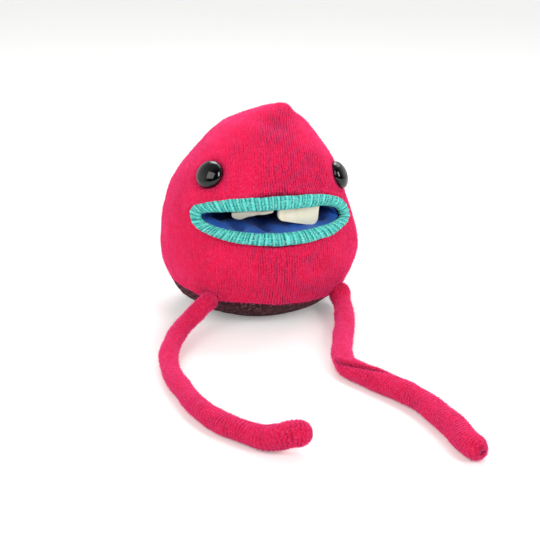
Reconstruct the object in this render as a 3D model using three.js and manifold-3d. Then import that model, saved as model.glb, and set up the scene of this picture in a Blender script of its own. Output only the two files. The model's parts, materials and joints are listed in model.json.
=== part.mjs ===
// Soft toy monster: a stuffed felted-knit body on a darker wool base, with a wide ribbed mouth that opens
// into a lined pocket, two felt teeth, two domed plastic eyes and two long stuffed legs sewn into the seam.
// Millimetres, +Z up, the face towards -Y. The origin is the centre of the flat patch that the toy sits on.
// Left and right are the viewer's, looking at the face. Azimuths are degrees from -Y, positive towards +X.
import * as THREE from 'three';
import { mergeVertices } from 'three/addons/utils/BufferGeometryUtils.js';
import Module from 'manifold-3d';

const wasm = await Module();
wasm.setup();

// Fits
const CLEAR = 0.3;

// Body profile: radii, and the rise from each level to the next
const SIT_RADIUS = 34.8;
const HAUNCH_RADIUS = 48.7;
const HAUNCH_RISE = 7;
const SEAM_RADIUS = 61.8;
const SEAM_RISE = 12;
const BELLY_RADIUS = 71;
const BELLY_RISE = 26.7;
const CHEEK_RADIUS = 63.3;
const CHEEK_RISE = 37;
const BROW_RADIUS = 49.8;
const BROW_RISE = 26.1;
const CROWN_RADIUS = 32.4;
const CROWN_RISE = 19.5;
const PEAK_RADIUS = 14.9;
const PEAK_RISE = 10.9;
const TIP_RISE = 5.8;

// How the stuffed body sits: depth over width, sideways lean of its levels, and the slant of the whole face
const BODY_DEPTH_RATIO = 0.92;
const BELLY_LEAN = 0.6;
const CHEEK_LEAN = -2.4;
const CROWN_LEAN = 3.6;
const TIP_LEAN = 14.1;
const SLANT = 4.5;

// Felted cover
const COVER_WALL = 2.5;

// Mouth: its loop on the cover, the ribbed lip along the loop, and the lined pocket behind it
const MOUTH_AZIMUTH = -5;
const MOUTH_HALF_WIDTH = 57.5;
const MOUTH_DROP = 5.7;
const UPPER_LIP_RISE = 12.4;
const UPPER_LIP_SKEW = 4;
const LOWER_LIP_SAG = 10.6;
const LOWER_LIP_SKEW = -2.5;
const LIP_HALF_WIDTH = 4.6;
const LIP_HALF_DEPTH = 4;
const LIP_PROUD = 1;
const COVER_TUCK = 1.5;
const LINING_WALL = 1.2;
const LINING_INSET = 1.5;
const POCKET_DEPTH = 42;
const POCKET_END_HALF_WIDTH = 36;
const POCKET_END_HALF_HEIGHT = 7;
const POCKET_END_BULGE = 6;

// Teeth
const TOOTH_WIDTH = 31;
const TOOTH_LENGTH = 12.8;
const TOOTH_THICKNESS = 3;
const TOOTH_CORNER = 6;
const TOOTH_EDGE = 1;
const TOOTH_TAPER = 1.5;
const TOOTH_GAP = 2.2;
const TOOTH_DROP = 0.5;
const TEETH_OFFSET = -0.3;
const LEFT_TOOTH_TILT = 39;
const RIGHT_TOOTH_TILT = 3;

// Safety eyes and their lock washers
const EYE_RADIUS = 10;
const EYE_HEIGHT = 7;
const EYE_RIM = 1.2;
const EYE_SUNK = 1;
const EYE_RISE = 17.7;
const EYE_TILT = 1.2;
const EYE_SPREAD = 59.5;
const EYE_TURN = 2;
const SHANK_RADIUS = 2.3;
const SHANK_LENGTH = 14;
const WASHER_RADIUS = 8;
const WASHER_THICKNESS = 1.6;
const WASHER_SET = 2.4;

// Legs: tube radii at the joints, wall, and how far each joint bends
const HIP_RADIUS = 6.9;
const KNEE_RADIUS = 7.4;
const ANKLE_RADIUS = 7.8;
const TOE_RADIUS = 8.2;
const TOE_CAP = 6;
const LEG_LIFT = 0.15;
const LEG_WALL = 1.5;
const ROOT_RADIUS = 6.4;
const ROOT_SUNK = 1;
const JOINT_STUB = 10;
const SOCKET_RIM = 3;
const KNEE_BEND = 62;
const ANKLE_BEND = 45;
const BEND_MARGIN = 2;
const GATHER_RADIUS = 2;
const SHOULDER_EASE = 1.3;

// Leg routes: where each leg leaves the seam, then each length along the floor with its three headings
const LEFT_LEG = {
  hipAzimuth: -49.5,
  hipSlope: -16,
  toeLift: 3,
  upper: { length: 99.8, leaves: -60, runs: -29.6, arrives: -3 },
  lower: { length: 89, leaves: -1, runs: 11, arrives: 31 },
  foot: { length: 39, leaves: 31, runs: 53.5, arrives: 78 },
};
const RIGHT_LEG = {
  hipAzimuth: 43.5,
  hipSlope: -7,
  toeLift: 0,
  upper: { length: 109.4, leaves: -12, runs: -20.4, arrives: -16 },
  lower: { length: 92.5, leaves: 19, runs: 15.4, arrives: 2 },
  foot: { length: 52, leaves: 2, runs: 0, arrives: 5 },
};

// Facets
const BODY_SIDES = 36;
const BODY_STEPS = 16;
const MOUTH_SIDES = 40;
const LIP_SIDES = 10;
const EYE_SIDES = 20;
const EYE_DOME_STEPS = 6;
const POCKET_STEPS = 3;
const TOOTH_CORNER_STEPS = 5;
const TOOTH_EDGE_STEPS = 2;
const LEG_SIDES = 12;
const LEG_STEP = 16;
const BALL_STEPS = 4;
const SOCKET_STEPS = 3;
const TOE_STEPS = 3;

// Small steps for reading slopes off the surface, halvings for reading a curve, and points counted as one
const AZIMUTH_NUDGE = 1;
const HEIGHT_NUDGE = 0.5;
const SHARE_NUDGE = 0.01;
const HALVINGS = 40;
const SAME_POINT = 1e-4;

const radians = THREE.MathUtils.degToRad;
const UP = new THREE.Vector3(0, 0, 1);

const material = (color, roughness) => new THREE.MeshStandardMaterial({ color, roughness, metalness: 0 });
const PINK_WOOL = material(0xe6265f, 0.95);
const BROWN_WOOL = material(0x4d2f37, 0.95);
const TURQUOISE_RIB = material(0x4fccbd, 0.9);
const BLUE_LINING = material(0x2a4fa2, 0.8);
const CREAM_FELT = material(0xefe6d3, 0.95);
const BLACK_PLASTIC = material(0x0a0a0c, 0.08);
const WASHER_PLASTIC = material(0x2b2b2e, 0.5);
const FIBREFILL = material(0xf2f0ea, 1);

const toy = new THREE.Group();

function addPiece(name, geometry, finish) {
  const mesh = new THREE.Mesh(geometry, finish);
  mesh.name = name;
  toy.add(mesh);
  return mesh;
}

// Closed solids for joining and cutting, and back again
function toSolid(geometry) {
  const plain = geometry.clone();
  plain.deleteAttribute('normal');
  plain.deleteAttribute('uv');
  const merged = mergeVertices(plain, SAME_POINT);
  const vertProperties = new Float32Array(merged.attributes.position.array);
  const index = merged.index.array;
  const kept = [];
  for (let i = 0; i < index.length; i += 3) {
    const [a, b, c] = [index[i], index[i + 1], index[i + 2]];
    if (a !== b && b !== c && c !== a) kept.push(a, b, c);
  }
  return new wasm.Manifold(new wasm.Mesh({ numProp: 3, vertProperties, triVerts: new Uint32Array(kept) }));
}

function toGeometry(solid) {
  const { vertProperties, triVerts, numProp } = solid.getMesh();
  const positions = new Float32Array((vertProperties.length / numProp) * 3);
  for (let i = 0; i < positions.length / 3; i += 1) {
    positions.set(vertProperties.subarray(i * numProp, i * numProp + 3), i * 3);
  }
  const geometry = new THREE.BufferGeometry();
  geometry.setAttribute('position', new THREE.BufferAttribute(positions, 3));
  geometry.setIndex(new THREE.BufferAttribute(new Uint32Array(triVerts), 1));
  geometry.computeVertexNormals();
  return geometry;
}

const cutAway = (solid, cutters) => cutters.reduce((rest, cutter) => rest.subtract(cutter), solid);

// A skin through rows of points: a row of one point is a pole, and a ring of rows can close on itself
function loft(rows, closed = false) {
  const positions = [];
  const starts = [];
  for (const row of rows) {
    starts.push(positions.length / 3);
    for (const point of row) positions.push(point.x, point.y, point.z);
  }
  const index = [];
  const bands = closed ? rows.length : rows.length - 1;
  for (let i = 0; i < bands; i += 1) {
    const j = (i + 1) % rows.length;
    const count = Math.max(rows[i].length, rows[j].length);
    for (let k = 0; k < count; k += 1) {
      const next = (k + 1) % count;
      const low = rows[i].length === 1 ? [starts[i], starts[i]] : [starts[i] + k, starts[i] + next];
      const high = rows[j].length === 1 ? [starts[j], starts[j]] : [starts[j] + k, starts[j] + next];
      if (low[0] !== low[1]) index.push(low[0], low[1], high[1]);
      if (high[0] !== high[1]) index.push(low[0], high[1], high[0]);
    }
  }
  if (signedVolume(positions, index) < 0) index.reverse();
  const geometry = new THREE.BufferGeometry();
  geometry.setAttribute('position', new THREE.Float32BufferAttribute(positions, 3));
  geometry.setIndex(index);
  geometry.computeVertexNormals();
  return geometry;
}

function signedVolume(positions, index) {
  const corner = (i) => new THREE.Vector3().fromArray(positions, index[i] * 3);
  let volume = 0;
  for (let i = 0; i < index.length; i += 3) {
    volume += corner(i).dot(corner(i + 1).cross(corner(i + 2))) / 6;
  }
  return volume;
}

function turned(profile, sides) {
  const geometry = new THREE.LatheGeometry(profile, sides);
  geometry.rotateX(Math.PI / 2);
  return geometry;
}

// Body surface
const SEAM_HEIGHT = HAUNCH_RISE + SEAM_RISE;
const BELLY_HEIGHT = SEAM_HEIGHT + BELLY_RISE;
const CHEEK_HEIGHT = BELLY_HEIGHT + CHEEK_RISE;
const BROW_HEIGHT = CHEEK_HEIGHT + BROW_RISE;
const CROWN_HEIGHT = BROW_HEIGHT + CROWN_RISE;
const PEAK_HEIGHT = CROWN_HEIGHT + PEAK_RISE;
const BODY_HEIGHT = PEAK_HEIGHT + TIP_RISE;

const bodyProfile = new THREE.SplineCurve([
  new THREE.Vector2(SIT_RADIUS, 0),
  new THREE.Vector2(HAUNCH_RADIUS, HAUNCH_RISE),
  new THREE.Vector2(SEAM_RADIUS, SEAM_HEIGHT),
  new THREE.Vector2(BELLY_RADIUS, BELLY_HEIGHT),
  new THREE.Vector2(CHEEK_RADIUS, CHEEK_HEIGHT),
  new THREE.Vector2(BROW_RADIUS, BROW_HEIGHT),
  new THREE.Vector2(CROWN_RADIUS, CROWN_HEIGHT),
  new THREE.Vector2(PEAK_RADIUS, PEAK_HEIGHT),
  new THREE.Vector2(0, BODY_HEIGHT),
]);
const bodyLean = new THREE.SplineCurve([
  new THREE.Vector2(0, 0),
  new THREE.Vector2(BELLY_LEAN, BELLY_HEIGHT),
  new THREE.Vector2(CHEEK_LEAN, CHEEK_HEIGHT),
  new THREE.Vector2(CROWN_LEAN, CROWN_HEIGHT),
  new THREE.Vector2(TIP_LEAN, BODY_HEIGHT),
]);

// Reads a curve of (value, height) at one height
function valueAt(curve, height) {
  let low = 0;
  let high = 1;
  for (let i = 0; i < HALVINGS; i += 1) {
    const middle = (low + high) / 2;
    if (curve.getPoint(middle).y < height) low = middle;
    else high = middle;
  }
  return curve.getPoint((low + high) / 2).x;
}

const settled = (x, y, z) => new THREE.Vector3(x + valueAt(bodyLean, z), y * BODY_DEPTH_RATIO, z);

function coverPoint(azimuth, height) {
  const radius = valueAt(bodyProfile, height);
  return settled(radius * Math.sin(radians(azimuth)), -radius * Math.cos(radians(azimuth)), height);
}

function coverNormal(azimuth, height) {
  const across = coverPoint(azimuth + AZIMUTH_NUDGE, height).sub(coverPoint(azimuth - AZIMUTH_NUDGE, height));
  const along = coverPoint(azimuth, height + HEIGHT_NUDGE).sub(coverPoint(azimuth, height - HEIGHT_NUDGE));
  return across.cross(along).normalize();
}

// The face slants: a level on it falls towards +X
const slantDrop = (x) => x * Math.tan(radians(SLANT));

function facePoint(azimuth, level, out) {
  const height = level - slantDrop(valueAt(bodyProfile, level) * Math.sin(radians(azimuth)));
  return coverPoint(azimuth, height).addScaledVector(coverNormal(azimuth, height), out);
}

// The whole body as a solid, drawn in by an inset
function bodySolid(inset) {
  const profile = [new THREE.Vector2(0, inset)];
  for (let i = 0; i <= BODY_STEPS; i += 1) {
    const t = i / BODY_STEPS;
    const point = bodyProfile.getPoint(t);
    const tangent = bodyProfile.getTangent(t);
    const radius = point.x - tangent.y * inset;
    const height = Math.max(point.y + tangent.x * inset, inset);
    if (i === BODY_STEPS || radius <= 0) {
      profile.push(new THREE.Vector2(0, Math.min(height, BODY_HEIGHT)));
      break;
    }
    profile.push(new THREE.Vector2(radius, height));
  }
  const geometry = turned(profile, BODY_SIDES);
  const position = geometry.attributes.position;
  for (let i = 0; i < position.count; i += 1) {
    const point = settled(position.getX(i), position.getY(i), position.getZ(i));
    position.setXYZ(i, point.x, point.y, point.z);
  }
  return toSolid(geometry);
}

// A block much larger than the body, to one side of the slanted waist seam, or of the two side seams
const BLOCK = 4 * BODY_HEIGHT;

function seamBlock(side) {
  const geometry = new THREE.BoxGeometry(BLOCK, BLOCK, BLOCK);
  geometry.translate(0, 0, side * (BLOCK / 2 + CLEAR / 2));
  geometry.rotateY(radians(SLANT));
  geometry.translate(0, 0, SEAM_HEIGHT);
  return toSolid(geometry);
}

function sideBlock(side) {
  const geometry = new THREE.BoxGeometry(BLOCK, BLOCK, BLOCK);
  geometry.translate(0, side * (BLOCK / 2 + CLEAR / 2), 0);
  return toSolid(geometry);
}

// Mouth loop: an angle round the mouth, how far the loop has grown, and how far it stands off the cover
const MOUTH_LEVEL = CHEEK_HEIGHT - MOUTH_DROP;

function mouthPoint(angle, grow, out) {
  const across = Math.cos(angle);
  const rise = UPPER_LIP_RISE + UPPER_LIP_SKEW * across;
  const sag = LOWER_LIP_SAG + LOWER_LIP_SKEW * across;
  const reach = (Math.sin(angle) >= 0 ? rise : sag) + grow;
  const turn = THREE.MathUtils.radToDeg((MOUTH_HALF_WIDTH + grow) / CHEEK_RADIUS);
  return facePoint(MOUTH_AZIMUTH + turn * across, MOUTH_LEVEL + reach * Math.sin(angle), out);
}

const mouthAngles = Array.from({ length: MOUTH_SIDES }, (_, k) => (2 * Math.PI * k) / MOUTH_SIDES);
const mouthRow = (grow, out) => mouthAngles.map((angle) => mouthPoint(angle, grow, out));

function lipGeometry(extra) {
  const rows = [];
  for (let k = 0; k < LIP_SIDES; k += 1) {
    const round = (2 * Math.PI * k) / LIP_SIDES;
    const grow = (LIP_HALF_WIDTH + extra) * Math.cos(round);
    rows.push(mouthRow(grow, LIP_PROUD + (LIP_HALF_DEPTH + extra) * Math.sin(round)));
  }
  return loft(rows, true);
}

// Pocket rows from the lip back to the closed end; each skin of the lining is the same pocket grown a little
const POCKET_MOUTH = LIP_PROUD - LIP_HALF_DEPTH - CLEAR;
const pocketFront = facePoint(MOUTH_AZIMUTH, MOUTH_LEVEL, 0);
const pocketEnd = new THREE.Vector3(pocketFront.x / 2, pocketFront.y + POCKET_DEPTH, MOUTH_LEVEL);

function pocketRows(grow) {
  const front = mouthRow(grow, POCKET_MOUTH);
  const back = mouthAngles.map((angle) => new THREE.Vector3(
    pocketEnd.x + (POCKET_END_HALF_WIDTH + grow) * Math.cos(angle),
    pocketEnd.y,
    pocketEnd.z + (POCKET_END_HALF_HEIGHT + grow) * Math.sin(angle),
  ));
  const rows = [];
  for (let i = 0; i <= POCKET_STEPS; i += 1) {
    rows.push(front.map((point, k) => point.clone().lerp(back[k], i / POCKET_STEPS)));
  }
  const bulge = POCKET_END_BULGE + grow;
  const pole = pocketEnd.clone().setY(pocketEnd.y + bulge);
  const round = Math.PI / 4;
  const drawnIn = 1 - Math.cos(round);
  const shoulder = pocketEnd.y + bulge * Math.sin(round);
  rows.push(back.map((point) => point.clone().lerp(pole, drawnIn).setY(shoulder)));
  rows.push([pole]);
  return rows;
}

const LINING_INSIDE = -LINING_INSET - LINING_WALL;
const liningGeometry = loft([...pocketRows(LINING_INSIDE).reverse(), ...pocketRows(-LINING_INSET)]);

// The mouth's hole through the cover and filling, reaching well clear of the lip in front
const CUT_REACH = 4 * LIP_HALF_DEPTH;

function mouthCutter(grow) {
  const outside = mouthRow(grow, CUT_REACH);
  const middle = facePoint(MOUTH_AZIMUTH, MOUTH_LEVEL, 2 * CUT_REACH);
  return toSolid(loft([[middle], outside, ...pocketRows(grow)]));
}

// Safety eye, turned about its own axis with its base at zero
function eyeGeometry(extra) {
  const radius = EYE_RADIUS + extra;
  const dome = new THREE.EllipseCurve(0, EYE_RIM, radius, EYE_HEIGHT - EYE_RIM + extra, 0, Math.PI / 2);
  const profile = [
    new THREE.Vector2(0, -SHANK_LENGTH - extra),
    new THREE.Vector2(SHANK_RADIUS + extra, -SHANK_LENGTH - extra),
    new THREE.Vector2(SHANK_RADIUS + extra, -extra),
    new THREE.Vector2(radius, -extra),
    ...dome.getPoints(EYE_DOME_STEPS).map((point) => new THREE.Vector2(Math.max(point.x, 0), point.y)),
  ];
  profile[profile.length - 1].x = 0;
  return turned(profile, EYE_SIDES);
}

function washerGeometry() {
  const inner = SHANK_RADIUS + CLEAR;
  const bottom = -WASHER_SET - WASHER_THICKNESS;
  const corners = [
    [inner, bottom],
    [WASHER_RADIUS, bottom],
    [WASHER_RADIUS, -WASHER_SET],
    [inner, -WASHER_SET],
    [inner, bottom],
  ];
  return turned(corners.map(([radius, height]) => new THREE.Vector2(radius, height)), EYE_SIDES);
}

// The room a washer needs, up to a height above it
function washerRoom(top) {
  const bottom = -WASHER_SET - WASHER_THICKNESS - CLEAR;
  const outer = WASHER_RADIUS + CLEAR;
  const corners = [[0, bottom], [outer, bottom], [outer, top], [0, top]];
  return turned(corners.map(([radius, height]) => new THREE.Vector2(radius, height)), EYE_SIDES);
}

// Moves a shape made at the origin, axis up, to where an eye sits on the cover
function seatEye(geometry, azimuth) {
  const level = CHEEK_HEIGHT + EYE_RISE - Math.sign(azimuth) * EYE_TILT;
  const seat = facePoint(azimuth, level, -EYE_SUNK);
  const normal = facePoint(azimuth, level, 1 - EYE_SUNK).sub(seat).normalize();
  geometry.applyQuaternion(new THREE.Quaternion().setFromUnitVectors(UP, normal));
  geometry.translate(seat.x, seat.y, seat.z);
  return geometry;
}

const EYES = { left: EYE_TURN - EYE_SPREAD, right: EYE_TURN + EYE_SPREAD };

// Teeth: felt plates that hang from the front edge of the lining, each turning on the line it is sewn along
const TOOTH_PIVOT = TOOTH_THICKNESS / 2;
const TOOTH_SET = LIP_HALF_DEPTH - LIP_PROUD + CLEAR + TOOTH_PIVOT / 2;

function toothGeometry() {
  const half = TOOTH_WIDTH / 2 - TOOTH_EDGE;
  const top = TOOTH_PIVOT - TOOTH_EDGE;
  const bottom = TOOTH_PIVOT - TOOTH_LENGTH + TOOTH_EDGE;
  const corner = TOOTH_CORNER - TOOTH_EDGE;
  const outline = new THREE.Shape();
  outline.moveTo(-half, top);
  const low = half - TOOTH_TAPER;
  outline.lineTo(-low, bottom + corner);
  outline.absarc(-low + corner, bottom + corner, corner, Math.PI, 1.5 * Math.PI, false);
  outline.absarc(low - corner, bottom + corner, corner, 1.5 * Math.PI, 2 * Math.PI, false);
  outline.lineTo(half, top);
  outline.closePath();
  const geometry = new THREE.ExtrudeGeometry(outline, {
    depth: TOOTH_THICKNESS - 2 * TOOTH_EDGE,
    bevelThickness: TOOTH_EDGE,
    bevelSize: TOOTH_EDGE,
    bevelSegments: TOOTH_EDGE_STEPS,
    curveSegments: TOOTH_CORNER_STEPS,
  });
  geometry.translate(0, 0, -TOOTH_THICKNESS / 2 + TOOTH_EDGE);
  geometry.rotateX(Math.PI / 2);
  return geometry;
}

// The line that the teeth are sewn along, by distance from the middle of the mouth
function toothLine(distance) {
  const sewn = (share) => mouthPoint(Math.acos(share), LINING_INSIDE - TOOTH_DROP - TOOTH_PIVOT, -TOOTH_SET);
  const pitch = sewn(SHARE_NUDGE).distanceTo(sewn(-SHARE_NUDGE)) / (2 * SHARE_NUDGE);
  return sewn(distance / pitch);
}

function addTooth(name, side, tilt) {
  const middle = TEETH_OFFSET + (side * (TOOTH_WIDTH + TOOTH_GAP)) / 2;
  const start = toothLine(middle - TOOTH_WIDTH / 2);
  const along = toothLine(middle + TOOTH_WIDTH / 2).sub(start);
  const hinge = start.clone().addScaledVector(along, 0.5);
  const across = along.clone().normalize();
  const back = UP.clone().cross(across).normalize();
  const axes = new THREE.Matrix4().makeBasis(across, back, across.clone().cross(back));
  const tooth = addPiece(name, toothGeometry(), CREAM_FELT);
  tooth.position.copy(hinge);
  tooth.quaternion.setFromRotationMatrix(axes);
  tooth.rotateX(radians(tilt));
}

// Legs: each length is a path of two straight stubs, so that its ends turn cleanly, and one bend between them
const heading = (turn, slope = 0) => new THREE.Vector3(
  Math.sin(radians(turn)) * Math.cos(radians(slope)),
  -Math.cos(radians(turn)) * Math.cos(radians(slope)),
  Math.sin(radians(slope)),
);

function lengthPath(start, leaves, end, arrives) {
  const first = start.clone().addScaledVector(leaves, JOINT_STUB);
  const last = end.clone().addScaledVector(arrives, -JOINT_STUB);
  const handle = first.distanceTo(last) / 3;
  const bend = new THREE.CubicBezierCurve3(
    first,
    first.clone().addScaledVector(leaves, handle),
    last.clone().addScaledVector(arrives, -handle),
    last,
  );
  const path = new THREE.CurvePath();
  path.add(new THREE.LineCurve3(start, first));
  path.add(bend);
  path.add(new THREE.LineCurve3(last, end));
  return { path, length: path.getLength(), start, leaves, end, arrives };
}

// Rows of points round a path, from stations of (distance along it, radius)
function rowsAlong(route, stations) {
  return stations.map(([distance, radius]) => {
    const share = THREE.MathUtils.clamp(distance / route.length, 0, 1);
    const centre = route.path.getPoint(share);
    let tangent = route.path.getTangent(share);
    if (distance <= JOINT_STUB) tangent = route.leaves;
    if (distance >= route.length - JOINT_STUB) tangent = route.arrives;
    const beyond = distance - share * route.length;
    centre.addScaledVector(tangent, beyond);
    if (radius === 0) return [centre];
    const side = tangent.clone().cross(UP).normalize();
    const top = side.clone().cross(tangent);
    return Array.from({ length: LEG_SIDES }, (_, k) => {
      const round = (2 * Math.PI * k) / LEG_SIDES;
      const spoke = side.clone().multiplyScalar(Math.cos(round)).addScaledVector(top, Math.sin(round));
      return centre.clone().addScaledVector(spoke, radius);
    });
  });
}

// Stations on a ball, from one angle to another off the path's direction
function ballStations(centre, radius, from, to, steps) {
  return Array.from({ length: steps + 1 }, (_, k) => {
    const angle = radians(from + ((to - from) * k) / steps);
    const across = Math.abs(Math.sin(angle)) < SAME_POINT ? 0 : radius * Math.sin(angle);
    return [centre + radius * Math.cos(angle), across];
  });
}

// Stations along a plain tube, with its radius at each; cover and filling of one route get as many, to nest
function tubeStations(route, from, to, radiusAt) {
  const count = Math.ceil(route.length / LEG_STEP);
  return Array.from({ length: count + 1 }, (_, k) => {
    const distance = from + ((to - from) * k) / count;
    return [distance, radiusAt(distance)];
  });
}

// Where a ball end leaves its ball, so that it can bend that far without touching the rim of its socket
const shoulderAngle = (radius, bend) => (
  180 - THREE.MathUtils.radToDeg(Math.atan2(radius, SOCKET_RIM)) - bend - BEND_MARGIN
);

// A ball end, drawn in by an inset: the ball from its gathered hole to the shoulder, then out to the tube
function ballEnd(radius, bend, inset, hole) {
  const ball = radius - inset;
  const shoulder = shoulderAngle(radius, bend);
  const shoulderAt = radius / Math.tan(radians(shoulder)) + inset * SHOULDER_EASE;
  const from = 180 - THREE.MathUtils.radToDeg(Math.asin(hole / ball));
  return [...ballStations(0, ball, from, shoulder, BALL_STEPS), [shoulderAt, ball]];
}

// A socket in the far end, from the tube's wall in towards the axis; a filling's socket runs on to its pole
function socketEnd(length, radius, inset, reach) {
  const ball = radius + CLEAR;
  const angleAt = (across) => 180 - THREE.MathUtils.radToDeg(Math.asin(across / ball));
  const rim = Math.sqrt(ball ** 2 - SOCKET_RIM ** 2);
  const from = angleAt(Math.min(rim, radius - inset));
  const to = reach === 0 ? 180 : angleAt(reach);
  return ballStations(length, ball, from, to, reach === 0 ? SOCKET_STEPS : 1);
}

const mirrored = (stations) => stations.map(([distance, radius]) => [-distance, radius]).reverse();

// A tube's radius by the distance along it
function tubeRadius(route, near, far) {
  return (distance) => THREE.MathUtils.lerp(near, far, THREE.MathUtils.clamp(distance / route.length, 0, 1));
}

// Two ends and the tube between them, in order along the length
function joinedStations(route, near, far, radiusAt) {
  const between = tubeStations(route, near[near.length - 1][0], far[0][0], radiusAt);
  return [...near, ...between.slice(1, -1), ...far];
}

// The outside of a cover runs from the near wall to the far wall, and its inside joins the same two edges
function coverStations(route, near, far) {
  const radiusAt = tubeRadius(route, near.radius, far.radius);
  const insideAt = (distance) => radiusAt(distance) - LEG_WALL;
  const nearOutside = nearEnd(near, 0, near.radius - LEG_WALL);
  const farOutside = farEnd(route, far, 0, far.radius - LEG_WALL);
  const nearInside = near.ball ? ballEnd(near.radius, near.bend, LEG_WALL, GATHER_RADIUS) : [nearOutside[0]];
  const farInside = far.toe ? toeEnd(route, far, LEG_WALL) : [farOutside[farOutside.length - 1]];
  const outer = joinedStations(route, nearOutside, farOutside, radiusAt);
  const inner = joinedStations(route, nearInside, farInside, insideAt);
  if (far.toe) return [...outer.reverse(), ...inner];
  const innerOnly = inner.slice(near.ball ? 0 : 1, -1);
  return [...outer, ...innerOnly.reverse()];
}

function fillingStations(route, near, far) {
  const inset = LEG_WALL + CLEAR;
  const radiusAt = tubeRadius(route, near.radius, far.radius);
  const nearStations = near.ball ? ballEnd(near.radius, near.bend, inset, 0) : nearEnd(near, inset, 0);
  const farStations = farEnd(route, far, inset, 0);
  return joinedStations(route, nearStations, farStations, (distance) => radiusAt(distance) - inset);
}

// The near end's outside: a ball, or a socket round the leg's root
function nearEnd(near, inset, reach) {
  if (near.ball) return ballEnd(near.radius, near.bend, inset, GATHER_RADIUS);
  const socket = mirrored(socketEnd(0, near.root, near.root - near.radius + inset, reach));
  return inset > 0 ? socket : [...socket, [SOCKET_RIM, near.radius]];
}

// The far end's outside: a socket for the next length, or a blunt gathered toe
function farEnd(route, far, inset, reach) {
  if (far.toe) return toeEnd(route, far, inset);
  const socket = socketEnd(route.length, far.radius, inset, reach);
  return inset > 0 ? socket : [[route.length - SOCKET_RIM, far.radius], ...socket];
}

function toeEnd(route, far, inset) {
  const cap = new THREE.EllipseCurve(0, 0, TOE_CAP - inset, far.radius - inset, Math.PI / 2, 0, true);
  const stations = cap.getPoints(TOE_STEPS).map((point) => [route.length - TOE_CAP + point.x, point.y]);
  stations[stations.length - 1][1] = 0;
  return stations;
}

function addLength(name, route, near, far) {
  addPiece(`${name}_cover`, loft(rowsAlong(route, coverStations(route, near, far)), !far.toe), PINK_WOOL);
  addPiece(`${name}_filling`, loft(rowsAlong(route, fillingStations(route, near, far))), FIBREFILL);
}

function hipCentre(leg) {
  const along = facePoint(leg.hipAzimuth, SEAM_HEIGHT, 0);
  const outward = facePoint(leg.hipAzimuth, SEAM_HEIGHT, 1).sub(along);
  return along.addScaledVector(outward, ROOT_RADIUS - ROOT_SUNK);
}

function rootGeometry(leg, extra) {
  const geometry = new THREE.SphereGeometry(ROOT_RADIUS + extra, LEG_SIDES, LEG_SIDES / 2);
  geometry.rotateX(Math.PI / 2);
  const centre = hipCentre(leg);
  return geometry.translate(centre.x, centre.y, centre.z);
}

function nextJoint(from, part, height) {
  const step = heading(part.runs).multiplyScalar(part.length);
  return new THREE.Vector3(from.x + step.x, from.y + step.y, height);
}

function addLeg(side, leg) {
  const hip = hipCentre(leg);
  const knee = nextJoint(hip, leg.upper, KNEE_RADIUS + LEG_LIFT);
  const ankle = nextJoint(knee, leg.lower, ANKLE_RADIUS + LEG_LIFT);
  const toe = nextJoint(ankle, leg.foot, TOE_RADIUS + LEG_LIFT + leg.toeLift);
  const upper = lengthPath(hip, heading(leg.upper.leaves, leg.hipSlope), knee, heading(leg.upper.arrives));
  const lower = lengthPath(knee, heading(leg.lower.leaves), ankle, heading(leg.lower.arrives));
  const foot = lengthPath(ankle, heading(leg.foot.leaves), toe, heading(leg.foot.arrives));
  const atHip = { radius: HIP_RADIUS, root: ROOT_RADIUS };
  const atKnee = { radius: KNEE_RADIUS, ball: true, bend: KNEE_BEND };
  const atAnkle = { radius: ANKLE_RADIUS, ball: true, bend: ANKLE_BEND };
  addPiece(`${side}_leg_root`, rootGeometry(leg, 0), PINK_WOOL);
  addLength(`${side}_upper_leg`, upper, atHip, { radius: KNEE_RADIUS });
  addLength(`${side}_lower_leg`, lower, atKnee, { radius: ANKLE_RADIUS });
  addLength(`${side}_foot`, foot, atAnkle, { radius: TOE_RADIUS, toe: true });
}

// Covers, base and filling of the body, each cut back from what passes through it
const outside = bodySolid(0);
const wallInside = bodySolid(COVER_WALL);
const shell = outside.subtract(wallInside);
const hipCutters = [LEFT_LEG, RIGHT_LEG].map((leg) => toSolid(rootGeometry(leg, CLEAR)));
const eyeAzimuths = Object.values(EYES);
const eyeCutters = eyeAzimuths.map((azimuth) => toSolid(seatEye(eyeGeometry(CLEAR), azimuth)));
const washerCutters = (top) => eyeAzimuths.map((azimuth) => toSolid(seatEye(washerRoom(top), azimuth)));
const lipCutter = toSolid(lipGeometry(CLEAR));
const cutters = [lipCutter, ...eyeCutters, ...hipCutters];

const knit = shell.intersect(seamBlock(1));
const frontCutters = [mouthCutter(COVER_TUCK), ...cutters, ...washerCutters(CLEAR - WASHER_SET)];
const stuffingCutters = [mouthCutter(CLEAR - LINING_INSET), ...cutters, ...washerCutters(0)];
addPiece('body_front_panel', toGeometry(cutAway(knit.intersect(sideBlock(-1)), frontCutters)), PINK_WOOL);
addPiece('body_back_panel', toGeometry(knit.intersect(sideBlock(1))), PINK_WOOL);
addPiece('base_panel', toGeometry(cutAway(shell.intersect(seamBlock(-1)), hipCutters)), BROWN_WOOL);
addPiece('body_stuffing', toGeometry(cutAway(bodySolid(COVER_WALL + CLEAR), stuffingCutters)), FIBREFILL);

addPiece('mouth_lip', lipGeometry(0), TURQUOISE_RIB);
addPiece('mouth_lining', liningGeometry, BLUE_LINING);
addTooth('left_tooth', -1, LEFT_TOOTH_TILT);
addTooth('right_tooth', 1, RIGHT_TOOTH_TILT);

for (const [side, azimuth] of Object.entries(EYES)) {
  addPiece(`${side}_eye`, seatEye(eyeGeometry(0), azimuth), BLACK_PLASTIC);
  addPiece(`${side}_eye_washer`, seatEye(washerGeometry(), azimuth), WASHER_PLASTIC);
}

addLeg('left', LEFT_LEG);
addLeg('right', RIGHT_LEG);

export default toy;
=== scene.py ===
import json
import math
from functools import partial

import bpy
import numpy as np
from mathutils import Matrix, Vector


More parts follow.
